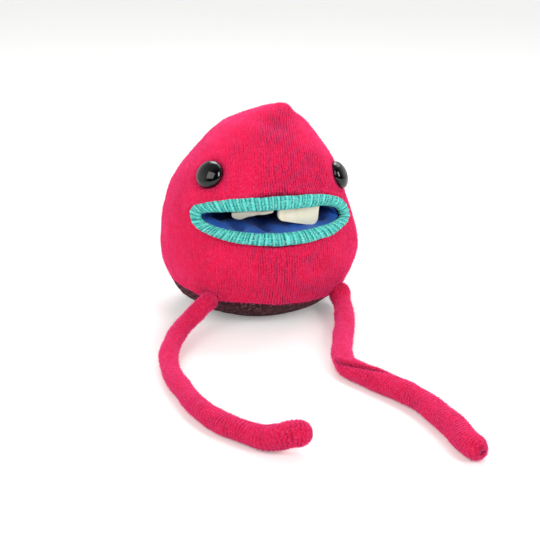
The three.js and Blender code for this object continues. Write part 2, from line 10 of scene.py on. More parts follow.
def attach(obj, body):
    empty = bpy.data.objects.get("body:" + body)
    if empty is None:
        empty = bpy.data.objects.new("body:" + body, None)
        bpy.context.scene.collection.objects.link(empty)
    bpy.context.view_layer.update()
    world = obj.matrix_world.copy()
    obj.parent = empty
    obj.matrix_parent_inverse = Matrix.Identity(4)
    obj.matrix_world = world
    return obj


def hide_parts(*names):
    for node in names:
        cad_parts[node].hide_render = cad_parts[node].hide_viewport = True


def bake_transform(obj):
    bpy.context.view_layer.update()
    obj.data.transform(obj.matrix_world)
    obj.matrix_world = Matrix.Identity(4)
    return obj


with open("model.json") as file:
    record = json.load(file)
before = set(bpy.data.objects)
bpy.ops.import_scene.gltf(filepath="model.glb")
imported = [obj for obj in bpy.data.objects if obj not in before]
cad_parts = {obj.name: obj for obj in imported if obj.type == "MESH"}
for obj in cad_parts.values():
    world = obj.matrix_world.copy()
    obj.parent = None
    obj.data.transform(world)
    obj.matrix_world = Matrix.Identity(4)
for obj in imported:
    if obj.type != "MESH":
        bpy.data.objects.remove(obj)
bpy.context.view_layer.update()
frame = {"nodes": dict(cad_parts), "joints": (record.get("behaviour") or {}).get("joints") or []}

# Millimetres in, metres out. Azimuths are degrees from -Y, positive towards +X. Left is the viewer's left.
MM = 0.001
WELD = 0.01
SEED = 20
SIDES = ("left", "right")
JOINTS = {joint["name"]: joint for joint in frame["joints"]}

# Camera, as the photograph was taken
VIEW_TURN = -20.0
VIEW_RISE = 20.0
VIEW_DISTANCE = 1100.0
VIEW_AIM = (7.05, -2.57, 22.7)
SENSOR = 36.0
LENS = 102.67

# Studio, in metres and watts: soft boxes (place, size, power), a broad sun as a scrim, a room that is light
# behind and dark in front, and the share of light that the paper gives on top of what it reflects
LAMPS = (
    ("left_box", (-1.15, -0.85, 1.1), (1.3, 1.0), 12.5),
    ("right_box", (0.65, -1.35, 1.0), (0.55, 0.9), 15.5),
    ("top_box", (0.22, 0.28, 0.55), (0.7, 0.4), 2.2),
)
LAMP_AIM = (0.0, 0.0, 0.06)
SCRIM_PLACE = (0.0, 0.0, 2.0)
SCRIM_ANGLE = 25.0
SCRIM_TILT = (-34.0, 14.0)
SCRIM_STRENGTH = 0.7
ROOM_DARK = 0.05
ROOM_LIGHT = 1.1
ROOM_DARK_TO = -0.6
ROOM_LIGHT_FROM = 0.15
CEILING_SHARE = 0.35
CEILING_FROM = 0.2
CEILING_TO = 0.9
FLOOR_SIZE = 8.0
PAPER_GLOW = 0.22

# Body profile from the flat patch it sits on up to the tip, and the sideways lean of its levels
BODY_RADII = (34.8, 48.7, 61.8, 71.0, 63.3, 49.8, 32.4, 14.9, 0.0)
BODY_HEIGHTS = (0.0, 7.0, 19.0, 45.7, 82.7, 108.8, 128.3, 139.2, 145.0)
LEAN_SHIFTS = (0.0, 0.6, -2.4, 3.6, 14.1)
LEAN_HEIGHTS = (0.0, 45.7, 82.7, 128.3, 145.0)
PROFILE_STEPS = 4000
DEPTH_RATIO = 0.92
SLANT = 4.5
SEAM_HEIGHT = 19.0
SEAM_RADIUS = 61.8
SEAM_ROUNDS = 8
CHEEK_HEIGHT = 82.7
CHEEK_RADIUS = 63.3

# Swells and dents of the stuffed body: place, how far out, and spread
SWELLS = (
    ((2.5, 4.0, 141.0), 0.9, 8.0),
    ((14.0, 0.0, 145.0), -1.2, 6.0),
    ((19.5, -2.0, 142.0), 2.0, 4.2),
    ((25.5, -4.0, 137.5), -0.9, 3.0),
    ((6.0, -20.5, 134.5), -3.0, 7.0),
    ((68.0, -12.0, 50.0), -1.6, 20.0),
)
NAP_ROOM = 0.6
BROW_SWELL = 1.5
BROW_SWELL_AT = 9.5
BROW_SWELL_SPREAD = 4.0
BROW_RISE = 8.0
TIP_FADE_RADIUS = 12.0

# Random swells: how high, how far apart, and the seed of each, and the shares that their sizes vary between
BROAD_SWELL = (0.55, 48.0, 1)
LUMP = (0.25, 17.0, 2)
WALE_SWAY = (0.22, 21.0, 3)
FELTING = (0.3, 26.0, 4)
BASE_SWELL = (0.3, 30.0, 5)
BASE_PEBBLE = (0.14, 5.0, 6)
LIP_WAVER = (0.3, 15.0, 7)
LINING_FOLD = (1.0, 19.0, 8)
LINING_CREASE = (0.6, 8.0, 9)
TOOTH_BOW = {"left": (0.35, 15.0, 14), "right": (0.35, 15.0, 15)}
TOOTH_PEBBLE = (0.12, 4.0, 11)
LEG_SWELL = (0.28, 26.0, 12)
LEG_LUMP = (0.14, 9.0, 13)
RING_SWAY = (0.3, 12.0, 14)
LEG_FELTING = (0.4, 14.0, 15)
SWELL_SIZES = (0.6, 1.4)
BODY_NAP_SEED = 20
LEG_NAP_SEED = 30

# Shade painted into the cover where it lies in a fold and in the groove round the lip: how much, and how wide
TIP_FOLD = (6.0, -20.5, 134.5)
TIP_FOLD_SPREAD = 9.0
TIP_SHADE = 0.22
EYE_SHADE = 0.5
EYE_SHADE_SPREAD = 2.2
HIP_SHADE = 0.45
HIP_SHADE_SPREAD = 9.0
GROOVE_SHADE = 1.1

# Sewn edges of the covers, and the brown base by the floor and below the seam, where it has painted shade
EDGE_ROLL = 1.2
EDGE_ROLL_WIDTH = 1.6
SIDE_SEAM_ROLL = 0.1
FLOOR_CLEARANCE = 0.05
BASE_FLAT_HEIGHT = 4.0
# How far below the seam the brown base is painted in shade
BASE_SHADE_WIDTH = 3.0
BASE_CLEAR = 0.5

# Mouth loop, the ribbed lip along it, and the lined pocket behind it. The ribs sway along the lip in waves:
# how far, how many round the mouth, and where each starts.
MOUTH_TURN = -5.0
MOUTH_LEVEL = 77.0
MOUTH_HALF_WIDTH = 57.5
UPPER_LIP_RISE = 12.4
UPPER_LIP_SKEW = 4.0
LOWER_LIP_SAG = 10.6
LOWER_LIP_SKEW = -2.5
MOUTH_FULLNESS = 0.85
MOUTH_TUCK = 0.8
LIP_HALF_WIDTH = 4.2
LIP_HALF_DEPTH = 3.1
LIP_PROUD = 1.0
LIP_FLATNESS = 0.78
LIP_GROOVE = 2.0
LIP_GROOVE_AT = 4.6
LIP_GROOVE_SPREAD = 1.8
RIB_REPEAT = 4.6
RIB_DEPTH = 0.7
RIB_SHARE = 0.62
RIB_SLOPE = 0.2
RIB_STEPS = 14
RIB_WALES = 2
RIB_SWAYS = ((0.12, 3, 1.0), (0.1, 11, 0.0), (0.08, 23, 0.0))
RIB_WIDENING = 0.1
# Painted shade in the lower wale of each rib
RIB_SHADE = 0.5
LIP_LOOP_STEPS = 1440
LIP_SECTION_STEPS = 32
LINING_WALL = 1.2
LINING_INSET = 2.2
LINING_FRONT = -3.0
LINING_FOLD_HEIGHT = 3.4
LINING_FOLD_LEVEL = 0.55
LINING_FOLD_STRETCH = 0.5
LINING_FOLD_BACK = 0.4
LINING_FLOOR_SLACK = 0.9
LINING_ROOF_SLACK = 0.4
LINING_SLACK_FROM = 0.18
LINING_SLACK_TO = 0.3
# Shade painted on the lining: how dark deep in the pocket, where that starts, over what share it grows, and
# how dark in the valleys of the folds
LINING_SHADE = 0.5
LINING_SHADE_FROM = 0.1
LINING_SHADE_RUN = 0.3
LINING_FOLD_SHADE = 0.35
LINING_GAUGE = (10, 20)
POCKET_DEPTH = 42.0
POCKET_END_HALF_WIDTH = 36.0
POCKET_END_HALF_HEIGHT = 7.0
POCKET_END_BULGE = 6.0
POCKET_WALL_SHARE = 0.8

# Felt teeth: width, shift along the sewn edge, length at the left and right ends, and tilt
TEETH = {
    "left": {"width": 27.8, "shift": 1.1, "lengths": (6.9, 1.8), "tilt": 39.0},
    "right": {"width": 31.0, "shift": 1.2, "lengths": (8.8, 13.4), "tilt": 3.0},
}
TOOTH_THICKNESS = 3.0
TOOTH_CORNER = 4.8
TOOTH_CORNER_SHARE = 0.8
TOOTH_PRESSED = 0.4
TOOTH_EDGE = 1.1
TOOTH_EDGE_STEPS = 3
TOOTH_BOW_STRETCH = 0.2

# Safety eyes, and how the cover is drawn in round each
EYE_RADIUS = 10.0
EYE_HEIGHT = 7.0
EYE_RIM = 1.2
EYE_RIM_STEPS = (0.7, 0.3)
EYE_RIM_TAPER = 0.96
EYE_SMOOTH_ANGLE = 40.0
EYE_CUT_NEAR = 0.0001
EYE_WELD = 0.001
EYE_SUNK = 1.0
EYE_LEVELS = {"left": CHEEK_HEIGHT + 18.9, "right": CHEEK_HEIGHT + 16.5}
EYE_TURNS = {"left": -57.5, "right": 61.5}
SHANK_RADIUS = 2.3
SHANK_LENGTH = 14.0
EYE_DIMPLE = 0.3
EYE_DIMPLE_SPREAD = 8.0
EYE_CUSHION = 0.6
EYE_CUSHION_AT = 14.0
EYE_CUSHION_SPREAD = 4.0

# Hips: the pink edge hangs lower over each leg and swells out above it, and the leg comes out of it in a neck
HIP_TURNS = {"left": -49.5, "right": 43.5}
HIP_DRAPES = {"left": 1.6, "right": 0.0}
HIP_DRAPE_SPREAD = 9.0
SEAM_DRAPE = 1.8
DRAPE_FLARE = 0.5
DRAPE_FLARE_HEIGHT = 8.0
HIP_SWELL = 1.0
HIP_SWELL_RISE = 8.0
HIP_SWELL_SPREAD = 6.5
HIP_NECKS = {"left": 6.1, "right": 7.0}
HIP_RISES = {"left": 0.6, "right": 4.0}
HIP_RISE_SPREAD = 7.0
HIP_NECK_LENGTH = 12.0

# Legs: the slope at the hip, the headings of each length as it leaves one joint and arrives at the next,
# the foot's length and heading, the lift of its toe, and how much slimmer the leg is than its solids at hip,
# knee, ankle and toe. Then the steps of its line, its toe, and the crease at the right knee.
LEG_RADII = (6.9, 7.4, 7.8, 8.2)
LEG_SETTLE = 30.0
LEG_LIFT = 0.15
JOINT_STUB = 10.0
LEGS = {
    "left": {
        "slope": -16.0,
        "headings": ((-60.0, -3.0), (-1.0, 31.0), (31.0, 78.0)),
        "foot": (39.0, 53.5),
        "toe_lift": 4.5,
        "slim": (1.0, 1.6, 1.0, 0.1),
    },
    "right": {
        "slope": -7.0,
        "headings": ((-12.0, -16.0), (19.0, 2.0), (2.0, 5.0)),
        "foot": (52.0, 0.0),
        "toe_lift": 0.0,
        "slim": (0.7, 0.7, 0.7, 0.7),
    },
}
LINE_STEP = 0.25
LINE_EASE = 18
LINE_REACH = 0.6
BEND_POINTS = 200
STUB_POINTS = 21
LEG_COLUMNS = 56
ROWS_PER_RING = 6
BALL_ROWS = 10
TOE_ROWS = 22
TOE_ROUND = 9.0
TOE_GATHER = 1.5
TOE_GATHER_SPREAD = 2.0
TOE_SEAM = 0.7
TOE_SEAM_RADIUS = 4.3
TOE_SEAM_SPREAD = 0.7
TOE_SHADE = 0.6
TOE_PLEAT = 0.06
TOE_PLEATS = 9
CREASE_LENGTH = 40.0
CREASE_LEAD = 5.0
CREASE_START = 4.0
CREASE_PAST = 6.0
CREASE_END = 12.0
CREASE_DEPTH = 1.9
CREASE_WIDTH = 1.2
CREASE_TURNS = (22.0, 92.0)
CREASE_LIP = 0.7
CREASE_LIP_AT = 2.6
CREASE_LIP_SPREAD = 2.2
CREASE_SHADE = 0.9

# Knit gauge, how far its wales stand up, how clearly its stitches show, and the loose wool on it.
# On each panel they show most at one azimuth (by how much, where, and spread). On a leg, a pair of values is
# for the hip end and what the lower end adds.
WALE = 1.8
COURSE = 1.5
WALE_RELIEF = 0.26
WALE_RELIEF_LEAST = 0.1
CLEAR_LEAST = 0.2
CLEAR_FELTED = 0.85
PANELS = {
    "body_front": {"middle": 0.0, "clearest": (0.9, 14.0, 52.0)},
    "body_back": {"middle": 180.0, "clearest": (0.6, 180.0, 50.0)},
}
LEG_RING = 2.2
LEG_RING_RELIEF = (0.03, 0.16)
LEG_CLEAR = (0.08, 0.45)
LEG_CLEAR_FELTED = 0.8
LEG_LOWER_GROWS = 1.7
LEG_LOWER_FROM = 0.5
# Shade painted on the legs: all over, and more near the hip under the body, over this spread
LEG_SHADE = 0.34
LEG_HIP_SHADE = 0.25
LEG_HIP_SHADE_SPREAD = 6.0
NAP_LENGTH = 1.5
NAP_REACHES = (0.45, 1.3)
NAP_TILTS = (0.35, 1.4)
NAP_THICKNESS = 0.08
BODY_NAP = 48000
LEG_NAP_PER_MM = 90

# Columns and rows of the sheets and of the eye's ball
PANEL_GRID = (500, 196)
BASE_GRID = (360, 70)
POUCH_GRID = (220, 56)
TOOTH_GRID = (48, 24)
EYE_GRID = (64, 48)

# A Mix node that mixes colours: its settings, and the sockets that take them
COLOURS = {"output": 2, "data_type": "RGBA"}
COLOUR_A = 6
COLOUR_B = 7


def linear(hex_code):
    """An sRGB hex colour as linear RGBA."""
    channels = [int(hex_code[i:i + 2], 16) / 255 for i in (1, 3, 5)]
    return tuple(c / 12.92 if c <= 0.04045 else ((c + 0.055) / 1.055) ** 2.4 for c in channels) + (1.0,)


def set_inputs(tree, node, inputs):
    """Links each input that is given a socket and sets each one that is given a value."""
    for socket, value in inputs.items():
        if isinstance(value, bpy.types.NodeSocket):
            tree.links.new(value, node.inputs[socket])
        else:
            node.inputs[socket].default_value = value


def add_node(tree, kind, inputs=None, output=0, **settings):
    """Adds one shader node with its settings and inputs, and gives one of its outputs."""
    node = tree.nodes.new(f"ShaderNode{kind}")
    for name, value in settings.items():
        setattr(node, name, value)
    set_inputs(tree, node, inputs or {})
    return node.outputs[output]


def new_material(name):
    """A material, a way to add nodes to it, a way to set its shader, and the object's coordinates."""
    material = bpy.data.materials.new(name)
    material.use_nodes = True
    tree = material.node_tree
    place = add_node(tree, "TexCoord", output="Object")
    return material, partial(add_node, tree), partial(set_inputs, tree, tree.nodes["Principled BSDF"]), place


def per_mm(size):
    """The scale of a pattern on object coordinates whose spots are about this many millimetres wide."""
    return 1 / (size * MM)


def two_tones(node, place, size, dark, light, detail=2.0):
    """Clouds about this many millimetres wide, and a colour that drifts from dark to light in them."""
    clouds = node("TexNoise", {"Vector": place, "Scale": per_mm(size), "Detail": detail})
    return clouds, node("Mix", {"Factor": clouds, COLOUR_A: linear(dark), COLOUR_B: linear(light)}, **COLOURS)


# Knitted wool in plain stitch, felted by washing: matt, with broken slits between the wales where the
# stitches still show and rows of V stitches on them, both with painted shade, more painted shade wherever a
# piece marks it, lighter loose fibres, and a nap that shines at the edges.
def knitted_wool(name, groove, ridge, fleck, fleck_size, heather, shine, shine_weight):
    material, node, shader, place = new_material(name)
    gauge = node("UVMap", uv_map="knit")
    axes = node("SeparateXYZ", {0: gauge})
    clear = node("Attribute", output="Fac", attribute_name="clear")
    sunk = node("Attribute", output="Fac", attribute_name="sunk")
    crest = node("Math", {0: axes, 1: 0.5}, operation="PINGPONG")
    slit = node("MapRange",
                {"Value": crest, "From Min": 0.0, "From Max": 0.4, "To Min": 1.0, "To Max": 0.0},
                interpolation_type="SMOOTHSTEP")
    stretched = node("Mapping", {"Vector": gauge, "Scale": (0.9, 0.28, 1.0)})
    patches = node("TexNoise", {"Vector": stretched, "Scale": 1.0, "Detail": 2.0})
    broken = node("MapRange",
                  {"Value": patches, "From Min": 0.36, "From Max": 0.6, "To Min": 0.2, "To Max": 1.0})
    open_slit = node("Math", {0: slit, 1: broken}, operation="MULTIPLY")
    depth = node("Math", {0: open_slit, 1: clear}, operation="MULTIPLY")
    leaning = node("Math", {0: crest, 1: -1.3, 2: axes.node.outputs["Y"]}, operation="MULTIPLY_ADD")
    phase = node("Math", {0: leaning, 1: 2 * math.pi}, operation="MULTIPLY")
    wave = node("Math", {0: phase}, operation="SINE")
    stitch = node("Math", {0: wave, 1: clear}, operation="MULTIPLY")
    fibre = node("TexNoise",
                 {"Vector": place, "Scale": per_mm(fleck_size), "Detail": 3.0, "Roughness": 0.7})
    # Painted shade: dark in the slits and along the stitch rows, and darker where the piece marks shade
    dark = node("Math", {0: stitch, 1: 0.2, 2: depth}, operation="MULTIPLY_ADD")
    tone = node("Math", {0: sunk, 1: 0.8, 2: dark}, operation="MULTIPLY_ADD")
    wool = node("Mix", {"Factor": tone, COLOUR_A: linear(ridge), COLOUR_B: linear(groove)}, **COLOURS)
    loose = node("MapRange",
                 {"Value": fibre, "From Min": 0.5, "From Max": 0.72, "To Min": 0.0, "To Max": heather})
    heathered = node("Mix", {"Factor": loose, COLOUR_A: wool, COLOUR_B: linear(fleck)}, **COLOURS)
    clouds = node("TexNoise", {"Vector": place, "Scale": per_mm(20.0), "Detail": 3.0})
    cloudy = node("MapRange",
                  {"Value": clouds, "From Min": 0.3, "From Max": 0.7, "To Min": 0.97, "To Max": 1.03})
    colour = node("Mix", {"Factor": 1.0, COLOUR_A: heathered, COLOUR_B: cloudy},
                  blend_type="MULTIPLY", **COLOURS)
    fuzz = node("Math", {0: fibre, 1: 0.5}, operation="MULTIPLY")
    rows = node("Math", {0: stitch, 1: 0.14, 2: fuzz}, operation="MULTIPLY_ADD")
    height = node("Math", {0: rows, 1: depth}, operation="SUBTRACT")
    bump = node("Bump", {"Strength": 0.8, "Distance": 0.55 * MM, "Height": height})
    shader({"Base Color": colour, "Normal": bump, "Roughness": 0.95, "IOR": 1.45, "Specular IOR Level": 0.12,
            "Sheen Weight": shine_weight, "Sheen Roughness": 0.4, "Sheen Tint": linear(shine)})
    return material


# Loose wool fibres: matt, in a colour a little lighter than the knit, which paints in the light that comes
# through them.
def loose_wool(name, dark, light):
    material, node, shader, place = new_material(name)
    _, colour = two_tones(node, place, 3.0, dark, light)
    shader({"Base Color": colour, "Roughness": 0.9, "Specular IOR Level": 0.1, "Sheen Weight": 0.5,
            "Sheen Tint": linear(light)})
    return material


# Woven polyester lining: mid blue, darker in clouds, with painted shade deep in the pocket and down in its
# folds, with a soft satin shine and a fine weave.
def satin_lining():
    material, node, shader, place = new_material("satin_lining")
    clouds, blue = two_tones(node, place, 13.0, "#1848A4", "#3070CE", detail=3.0)
    sunk = node("Attribute", output="Fac", attribute_name="sunk")
    colour = node("Mix", {"Factor": sunk, COLOUR_A: blue, COLOUR_B: linear("#0A1C52")}, **COLOURS)
    weave = node("TexNoise", {"Vector": place, "Scale": per_mm(0.7), "Detail": 2.0})
    bump = node("Bump", {"Strength": 0.25, "Distance": 0.2 * MM, "Height": weave})
    rough = node("MapRange", {"Value": clouds, "To Min": 0.4, "To Max": 0.62})
    shader({"Base Color": colour, "Normal": bump, "Roughness": rough, "Sheen Weight": 0.15})
    return material


# Thick pressed wool felt: cream, matt, with matted fibres and faint yellow clouding.
def pressed_felt():
    material, node, shader, place = new_material("pressed_felt")
    _, cream = two_tones(node, place, 7.0, "#FDF0D2", "#FFF8E6", detail=3.0)
    fibre = node("TexNoise", {"Vector": place, "Scale": per_mm(0.9), "Detail": 4.0, "Roughness": 0.75})
    matted = node("MapRange",
                  {"Value": fibre, "From Min": 0.5, "From Max": 0.75, "To Min": 0.0, "To Max": 0.3})
    colour = node("Mix", {"Factor": matted, COLOUR_A: cream, COLOUR_B: linear("#EEDDB6")}, **COLOURS)
    bump = node("Bump", {"Strength": 0.5, "Distance": 0.35 * MM, "Height": fibre})
    shader({"Base Color": colour, "Normal": bump, "Roughness": 0.95, "Specular IOR Level": 0.2,
            "Sheen Weight": 0.35, "Sheen Tint": linear("#FFF8E8")})
    return material


# Black acrylic, moulded and polished, with a clear lacquer: a hard gloss with faint dust and scuffs.
def polished_acrylic():
    material, node, shader, place = new_material("polished_acrylic")
    dust, colour = two_tones(node, place, 1.2, "#020203", "#060608", detail=4.0)
    scuffs = node("MapRange", {"Value": dust, "To Min": 0.02, "To Max": 0.07})
    shader({"Base Color": colour, "Roughness": scuffs, "IOR": 1.42, "Coat Weight": 0.2,
            "Coat Roughness": 0.02, "Coat IOR": 1.5})
    return material


# Moulded nylon, dark grey and dull, with a fine pebbled skin.
def moulded_nylon():
    material, node, shader, place = new_material("moulded_nylon")
    _, colour = two_tones(node, place, 2.0, "#29292C", "#333338")
    pebble = node("TexNoise", {"Vector": place, "Scale": per_mm(0.4)})
    bump = node("Bump", {"Strength": 0.3, "Distance": 0.1 * MM, "Height": pebble})
    shader({"Base Color": colour, "Normal": bump, "Roughness": 0.55})
    return material


# White paper sweep: matt, with faint clouding, and a little brighter to the camera, in mirrors and through
# clear things, so that it reads as white there and still takes the object's shadow.
def white_paper():
    material, node, shader, place = new_material("white_paper")
    _, colour = two_tones(node, place, 400.0, "#F6F6F4", "#F9F9F8")
    seen = node("LightPath", output="Is Camera Ray")
    path = seen.node.outputs
    mirrored = node("Math", {0: path["Is Glossy Ray"], 1: path["Is Transmission Ray"]}, operation="ADD")
    shown = node("Math", {0: seen, 1: mirrored}, operation="MAXIMUM")
    glow = node("Math", {0: shown, 1: PAPER_GLOW}, operation="MULTIPLY")
    shader({"Base Color": colour, "Roughness": 0.9, "Specular IOR Level": 0.1,
            "Emission Color": linear("#FFFFFF"), "Emission Strength": glow})
    return material


PINK = knitted_wool("felted_pink_knit", groove="#7C0426", ridge="#F0174C", fleck="#FF5F8E", fleck_size=1.2,
                    heather=0.5, shine="#FF7CD0", shine_weight=1.0)
BROWN = knitted_wool("felted_brown_knit", groove="#180A0E", ridge="#43222A", fleck="#A88288", fleck_size=1.8,
                     heather=0.7, shine="#8C6C74", shine_weight=0.1)
TURQUOISE = knitted_wool("ribbed_turquoise_knit", groove="#168884", ridge="#66E8DC", fleck="#CCFFF8",
                         fleck_size=1.2, heather=0.55, shine="#A8F2EA", shine_weight=0.3)
PINK_NAP = loose_wool("loose_pink_wool", "#EC2464", "#FF5EA6")
LINING = satin_lining()
FELT = pressed_felt()
ACRYLIC = polished_acrylic()
NYLON = moulded_nylon()
PAPER = white_paper()


# Curves and surfaces of the body, in millimetres
def spline(values, share):
    """A smooth curve through evenly spaced values, read at shares from 0 to 1."""
    knots = np.asarray(values, float)
    last = len(knots) - 1
    along = np.clip(np.asarray(share, float), 0, 1) * last
    start = np.minimum(along.astype(int), last - 1)
    t = along - start
    before, here = knots[np.maximum(start - 1, 0)], knots[start]
    there, after = knots[start + 1], knots[np.minimum(start + 2, last)]
    pull, push = (there - before) / 2, (after - here) / 2
    cubic = (2 * here - 2 * there + pull + push) * t ** 3
    return cubic + (-3 * here + 3 * there - 2 * pull - push) * t ** 2 + pull * t + here


FINE = np.linspace(0, 1, PROFILE_STEPS + 1)
PROFILE_RADIUS = spline(BODY_RADII, FINE)
PROFILE_HEIGHT = spline(BODY_HEIGHTS, FINE)
PROFILE_ARC = np.concatenate([[0], np.cumsum(np.hypot(np.diff(PROFILE_RADIUS), np.diff(PROFILE_HEIGHT)))])
LEAN_AT = (spline(LEAN_HEIGHTS, FINE), spline(LEAN_SHIFTS, FINE))


def radius_at(height):
    return np.interp(height, PROFILE_HEIGHT, PROFILE_RADIUS)


def lean_at(height):
    return np.interp(height, *LEAN_AT)


def settled(radius, turn, height):
    """A point of the body from its radius, azimuth and height."""
    angle = np.radians(turn)
    x = radius * np.sin(angle) + lean_at(height)
    y = -radius * np.cos(angle) * DEPTH_RATIO
    return np.stack(np.broadcast_arrays(x, y, height), axis=-1)


def cover_point(turn, height, out=0.0):
    """A point on the body's cover, or this far out from it."""
    turn, height = np.broadcast_arrays(np.asarray(turn, float), np.asarray(height, float))
    across = settled(radius_at(height), turn + 1, height) - settled(radius_at(height), turn - 1, height)
    above, below = height + 0.5, height - 0.5
    along = settled(radius_at(above), turn, above) - settled(radius_at(below), turn, below)
    normal = unit(np.cross(across, along))
    return settled(radius_at(height), turn, height) + normal * np.asarray(out, float)[..., None]


def slant_drop(x):
    """The face slants: a level on it falls towards +X."""
    return x * math.tan(math.radians(SLANT))


def face_point(turn, level, out=0.0):
    return cover_point(turn, level - slant_drop(radius_at(level) * np.sin(np.radians(turn))), out)


def seam_height(turn):
    height = np.full(np.shape(turn), SEAM_HEIGHT)
    for _ in range(SEAM_ROUNDS):
        height = SEAM_HEIGHT - slant_drop(radius_at(height) * np.sin(np.radians(turn)) + lean_at(height))
    return height


def mouth_reach(across, upper):
    rise = UPPER_LIP_RISE + UPPER_LIP_SKEW * across
    sag = LOWER_LIP_SAG + LOWER_LIP_SKEW * across
    return np.where(upper, rise, sag)


def mouth_point(angle, grow, out):
    """A point on the mouth's loop by its angle, grown outwards along the cover and lifted off it."""
    across = np.cos(angle)
    lift = np.sign(np.sin(angle)) * np.abs(np.sin(angle)) ** MOUTH_FULLNESS
    reach = mouth_reach(across, lift >= 0) + grow
    turn = np.degrees((MOUTH_HALF_WIDTH + grow) / CHEEK_RADIUS)
    return face_point(MOUTH_TURN + turn * across, MOUTH_LEVEL + reach * lift, out)


def mouth_distance(turn, height):
    """How far a point on the cover lies outside the mouth loop, roughly."""
    across = np.radians(turn - MOUTH_TURN) * CHEEK_RADIUS / MOUTH_HALF_WIDTH
    rise = height + slant_drop(radius_at(height) * np.sin(np.radians(turn))) - MOUTH_LEVEL
    reach = mouth_reach(np.clip(across, -1, 1), rise >= 0)
    ring = np.hypot(across, np.abs(rise / reach) ** (1 / MOUTH_FULLNESS))
    stretch = np.hypot(across * MOUTH_HALF_WIDTH, rise) / np.maximum(ring, 1e-6)
    return (ring - 1) * np.minimum(stretch, MOUTH_HALF_WIDTH)


def ripples(points, height, size, seed, count=14):
    """Smooth random swells about this far apart, up to about this high and this deep."""
    rng = np.random.default_rng(SEED + seed)
    total = np.zeros(points.shape[:-1])
    for _ in range(count):
        direction = rng.normal(size=3)
        direction *= 2 * np.pi / size * rng.uniform(*SWELL_SIZES) / np.linalg.norm(direction)
        total += np.sin(points @ direction + rng.uniform(0, 2 * np.pi))
    return height * (total / math.sqrt(count))


def unit(vectors):
    """Vectors of length one along the given ones."""
    return vectors / np.linalg.norm(vectors, axis=-1, keepdims=True)


def arc_along(line):
    """How far along a line of points each of them lies."""
    return np.concatenate([[0], np.cumsum(np.linalg.norm(np.diff(line, axis=0), axis=1))])


def points_at(distance, arc, line):
    """Points at these distances along a line, whose own points lie at the distances in arc."""
    return np.stack([np.interp(distance, arc, line[:, k]) for k in range(3)], axis=-1)


def bell(distance, spread):
    return np.exp(-(distance / spread) ** 2)


def near(points, spot, spread):
    """One at a spot, fading to nothing about twice its spread away."""
    return np.exp(-((points - spot) ** 2).sum(axis=-1) / (2 * spread ** 2))


def joint_place(name):
    return np.array(JOINTS[name]["pos_m"]) / MM


def grid_normals(points):
    """Outward normals of a grid of points, whose rows run up and whose columns run towards +X."""
    normal = np.cross(np.gradient(points, axis=1), np.gradient(points, axis=0))
    length = np.linalg.norm(normal, axis=-1, keepdims=True)
    normal = np.where(length > 1e-9, normal / np.maximum(length, 1e-9), 0)
    for row, beside in ((0, 1), (-1, -2)):
        if np.allclose(points[row], points[row][:1]):
            mean = normal[beside].mean(axis=0)
            normal[row] = mean / np.linalg.norm(mean)
    return normal


# Making pieces
def enter(mode):
    bpy.ops.object.mode_set(mode=mode)


def deselect():
    if bpy.context.mode != "OBJECT":
        enter("OBJECT")
    bpy.ops.object.select_all(action="DESELECT")


def added(name, make, **settings):
    """Adds an object with one of the makers in bpy.ops, with all else deselected, and names it."""
    deselect()
    make(**settings)
    piece = bpy.context.object
    piece.name = name
    return piece


def choose(piece):
    deselect()
    piece.select_set(True)
    bpy.context.view_layer.objects.active = piece


def weld(piece, distance=WELD):
    """Merges points that lie together and turns all faces outwards."""
    choose(piece)
    enter("EDIT")
    bpy.ops.mesh.select_all(action="SELECT")
    bpy.ops.mesh.remove_doubles(threshold=distance * MM)
    bpy.ops.mesh.normals_make_consistent(inside=False)
    enter("OBJECT")
    bpy.ops.object.shade_smooth()


def rows_of(items, attribute, width=3, kind=np.float32):
    """One attribute of a mesh's points, faces or corners, with a row for each."""
    flat = np.zeros(len(items) * width, kind)
    items.foreach_get(attribute, flat)
    return flat.reshape(-1, width)


def sheet_piece(name, points, gauge, material, unwanted=None, **marks):
    """A flat grid of cloth laid over the given points, with its knit gauge as a UV map and marks on it,
    without the faces that are unwanted, and closed where its edges meet."""
    rows, columns = points.shape[0] - 1, points.shape[1] - 1
    piece = added(name, bpy.ops.mesh.primitive_grid_add, x_subdivisions=columns, y_subdivisions=rows, size=1)
    piece.data.name = name
    mesh = piece.data
    flat = rows_of(mesh.vertices, "co") + 0.5
    column = np.rint(flat[:, 0] * columns).astype(int)
    row = np.rint(flat[:, 1] * rows).astype(int)
    mesh.vertices.foreach_set("co", (points[row, column] * MM).astype(np.float32).ravel())
    for old in list(mesh.uv_layers):
        mesh.uv_layers.remove(old)
    layer = mesh.uv_layers.new(name="knit")
    corner = rows_of(mesh.loops, "vertex_index", 1, np.int32).ravel()
    layer.data.foreach_set("uv", gauge[row, column][corner].astype(np.float32).ravel())
    for mark, values in marks.items():
        layer = mesh.attributes.new(mark, "FLOAT", "POINT")
        spread = np.broadcast_to(values, points.shape[:2])
        layer.data.foreach_set("value", np.clip(spread, 0, 1)[row, column].astype(np.float32))
    mesh.materials.append(material)
    mesh.update()
    if unwanted:
        drop_faces(piece, unwanted)
    weld(piece)
    return piece


def drop_faces(piece, unwanted):
    """Deletes the faces whose centre, in millimetres, is unwanted, and the loose points that leaves."""
    choose(piece)
    mesh = piece.data
    gone = unwanted(rows_of(mesh.polygons, "center") / MM)
    mesh.vertices.foreach_set("select", np.zeros(len(mesh.vertices), bool))
    mesh.edges.foreach_set("select", np.zeros(len(mesh.edges), bool))
    mesh.polygons.foreach_set("select", gone)
    enter("EDIT")
    bpy.ops.mesh.select_mode(type="FACE")
    bpy.ops.mesh.delete(type="FACE")
    bpy.ops.mesh.select_mode(type="VERT")
    enter("OBJECT")


def thicken(piece, wall):
    """Gives a sheet its wall, inwards."""
    solid = piece.modifiers.new("wall", "SOLIDIFY")
    solid.thickness = wall * MM
    solid.offset = -1
    choose(piece)
    bpy.ops.object.modifier_apply(modifier=solid.name)


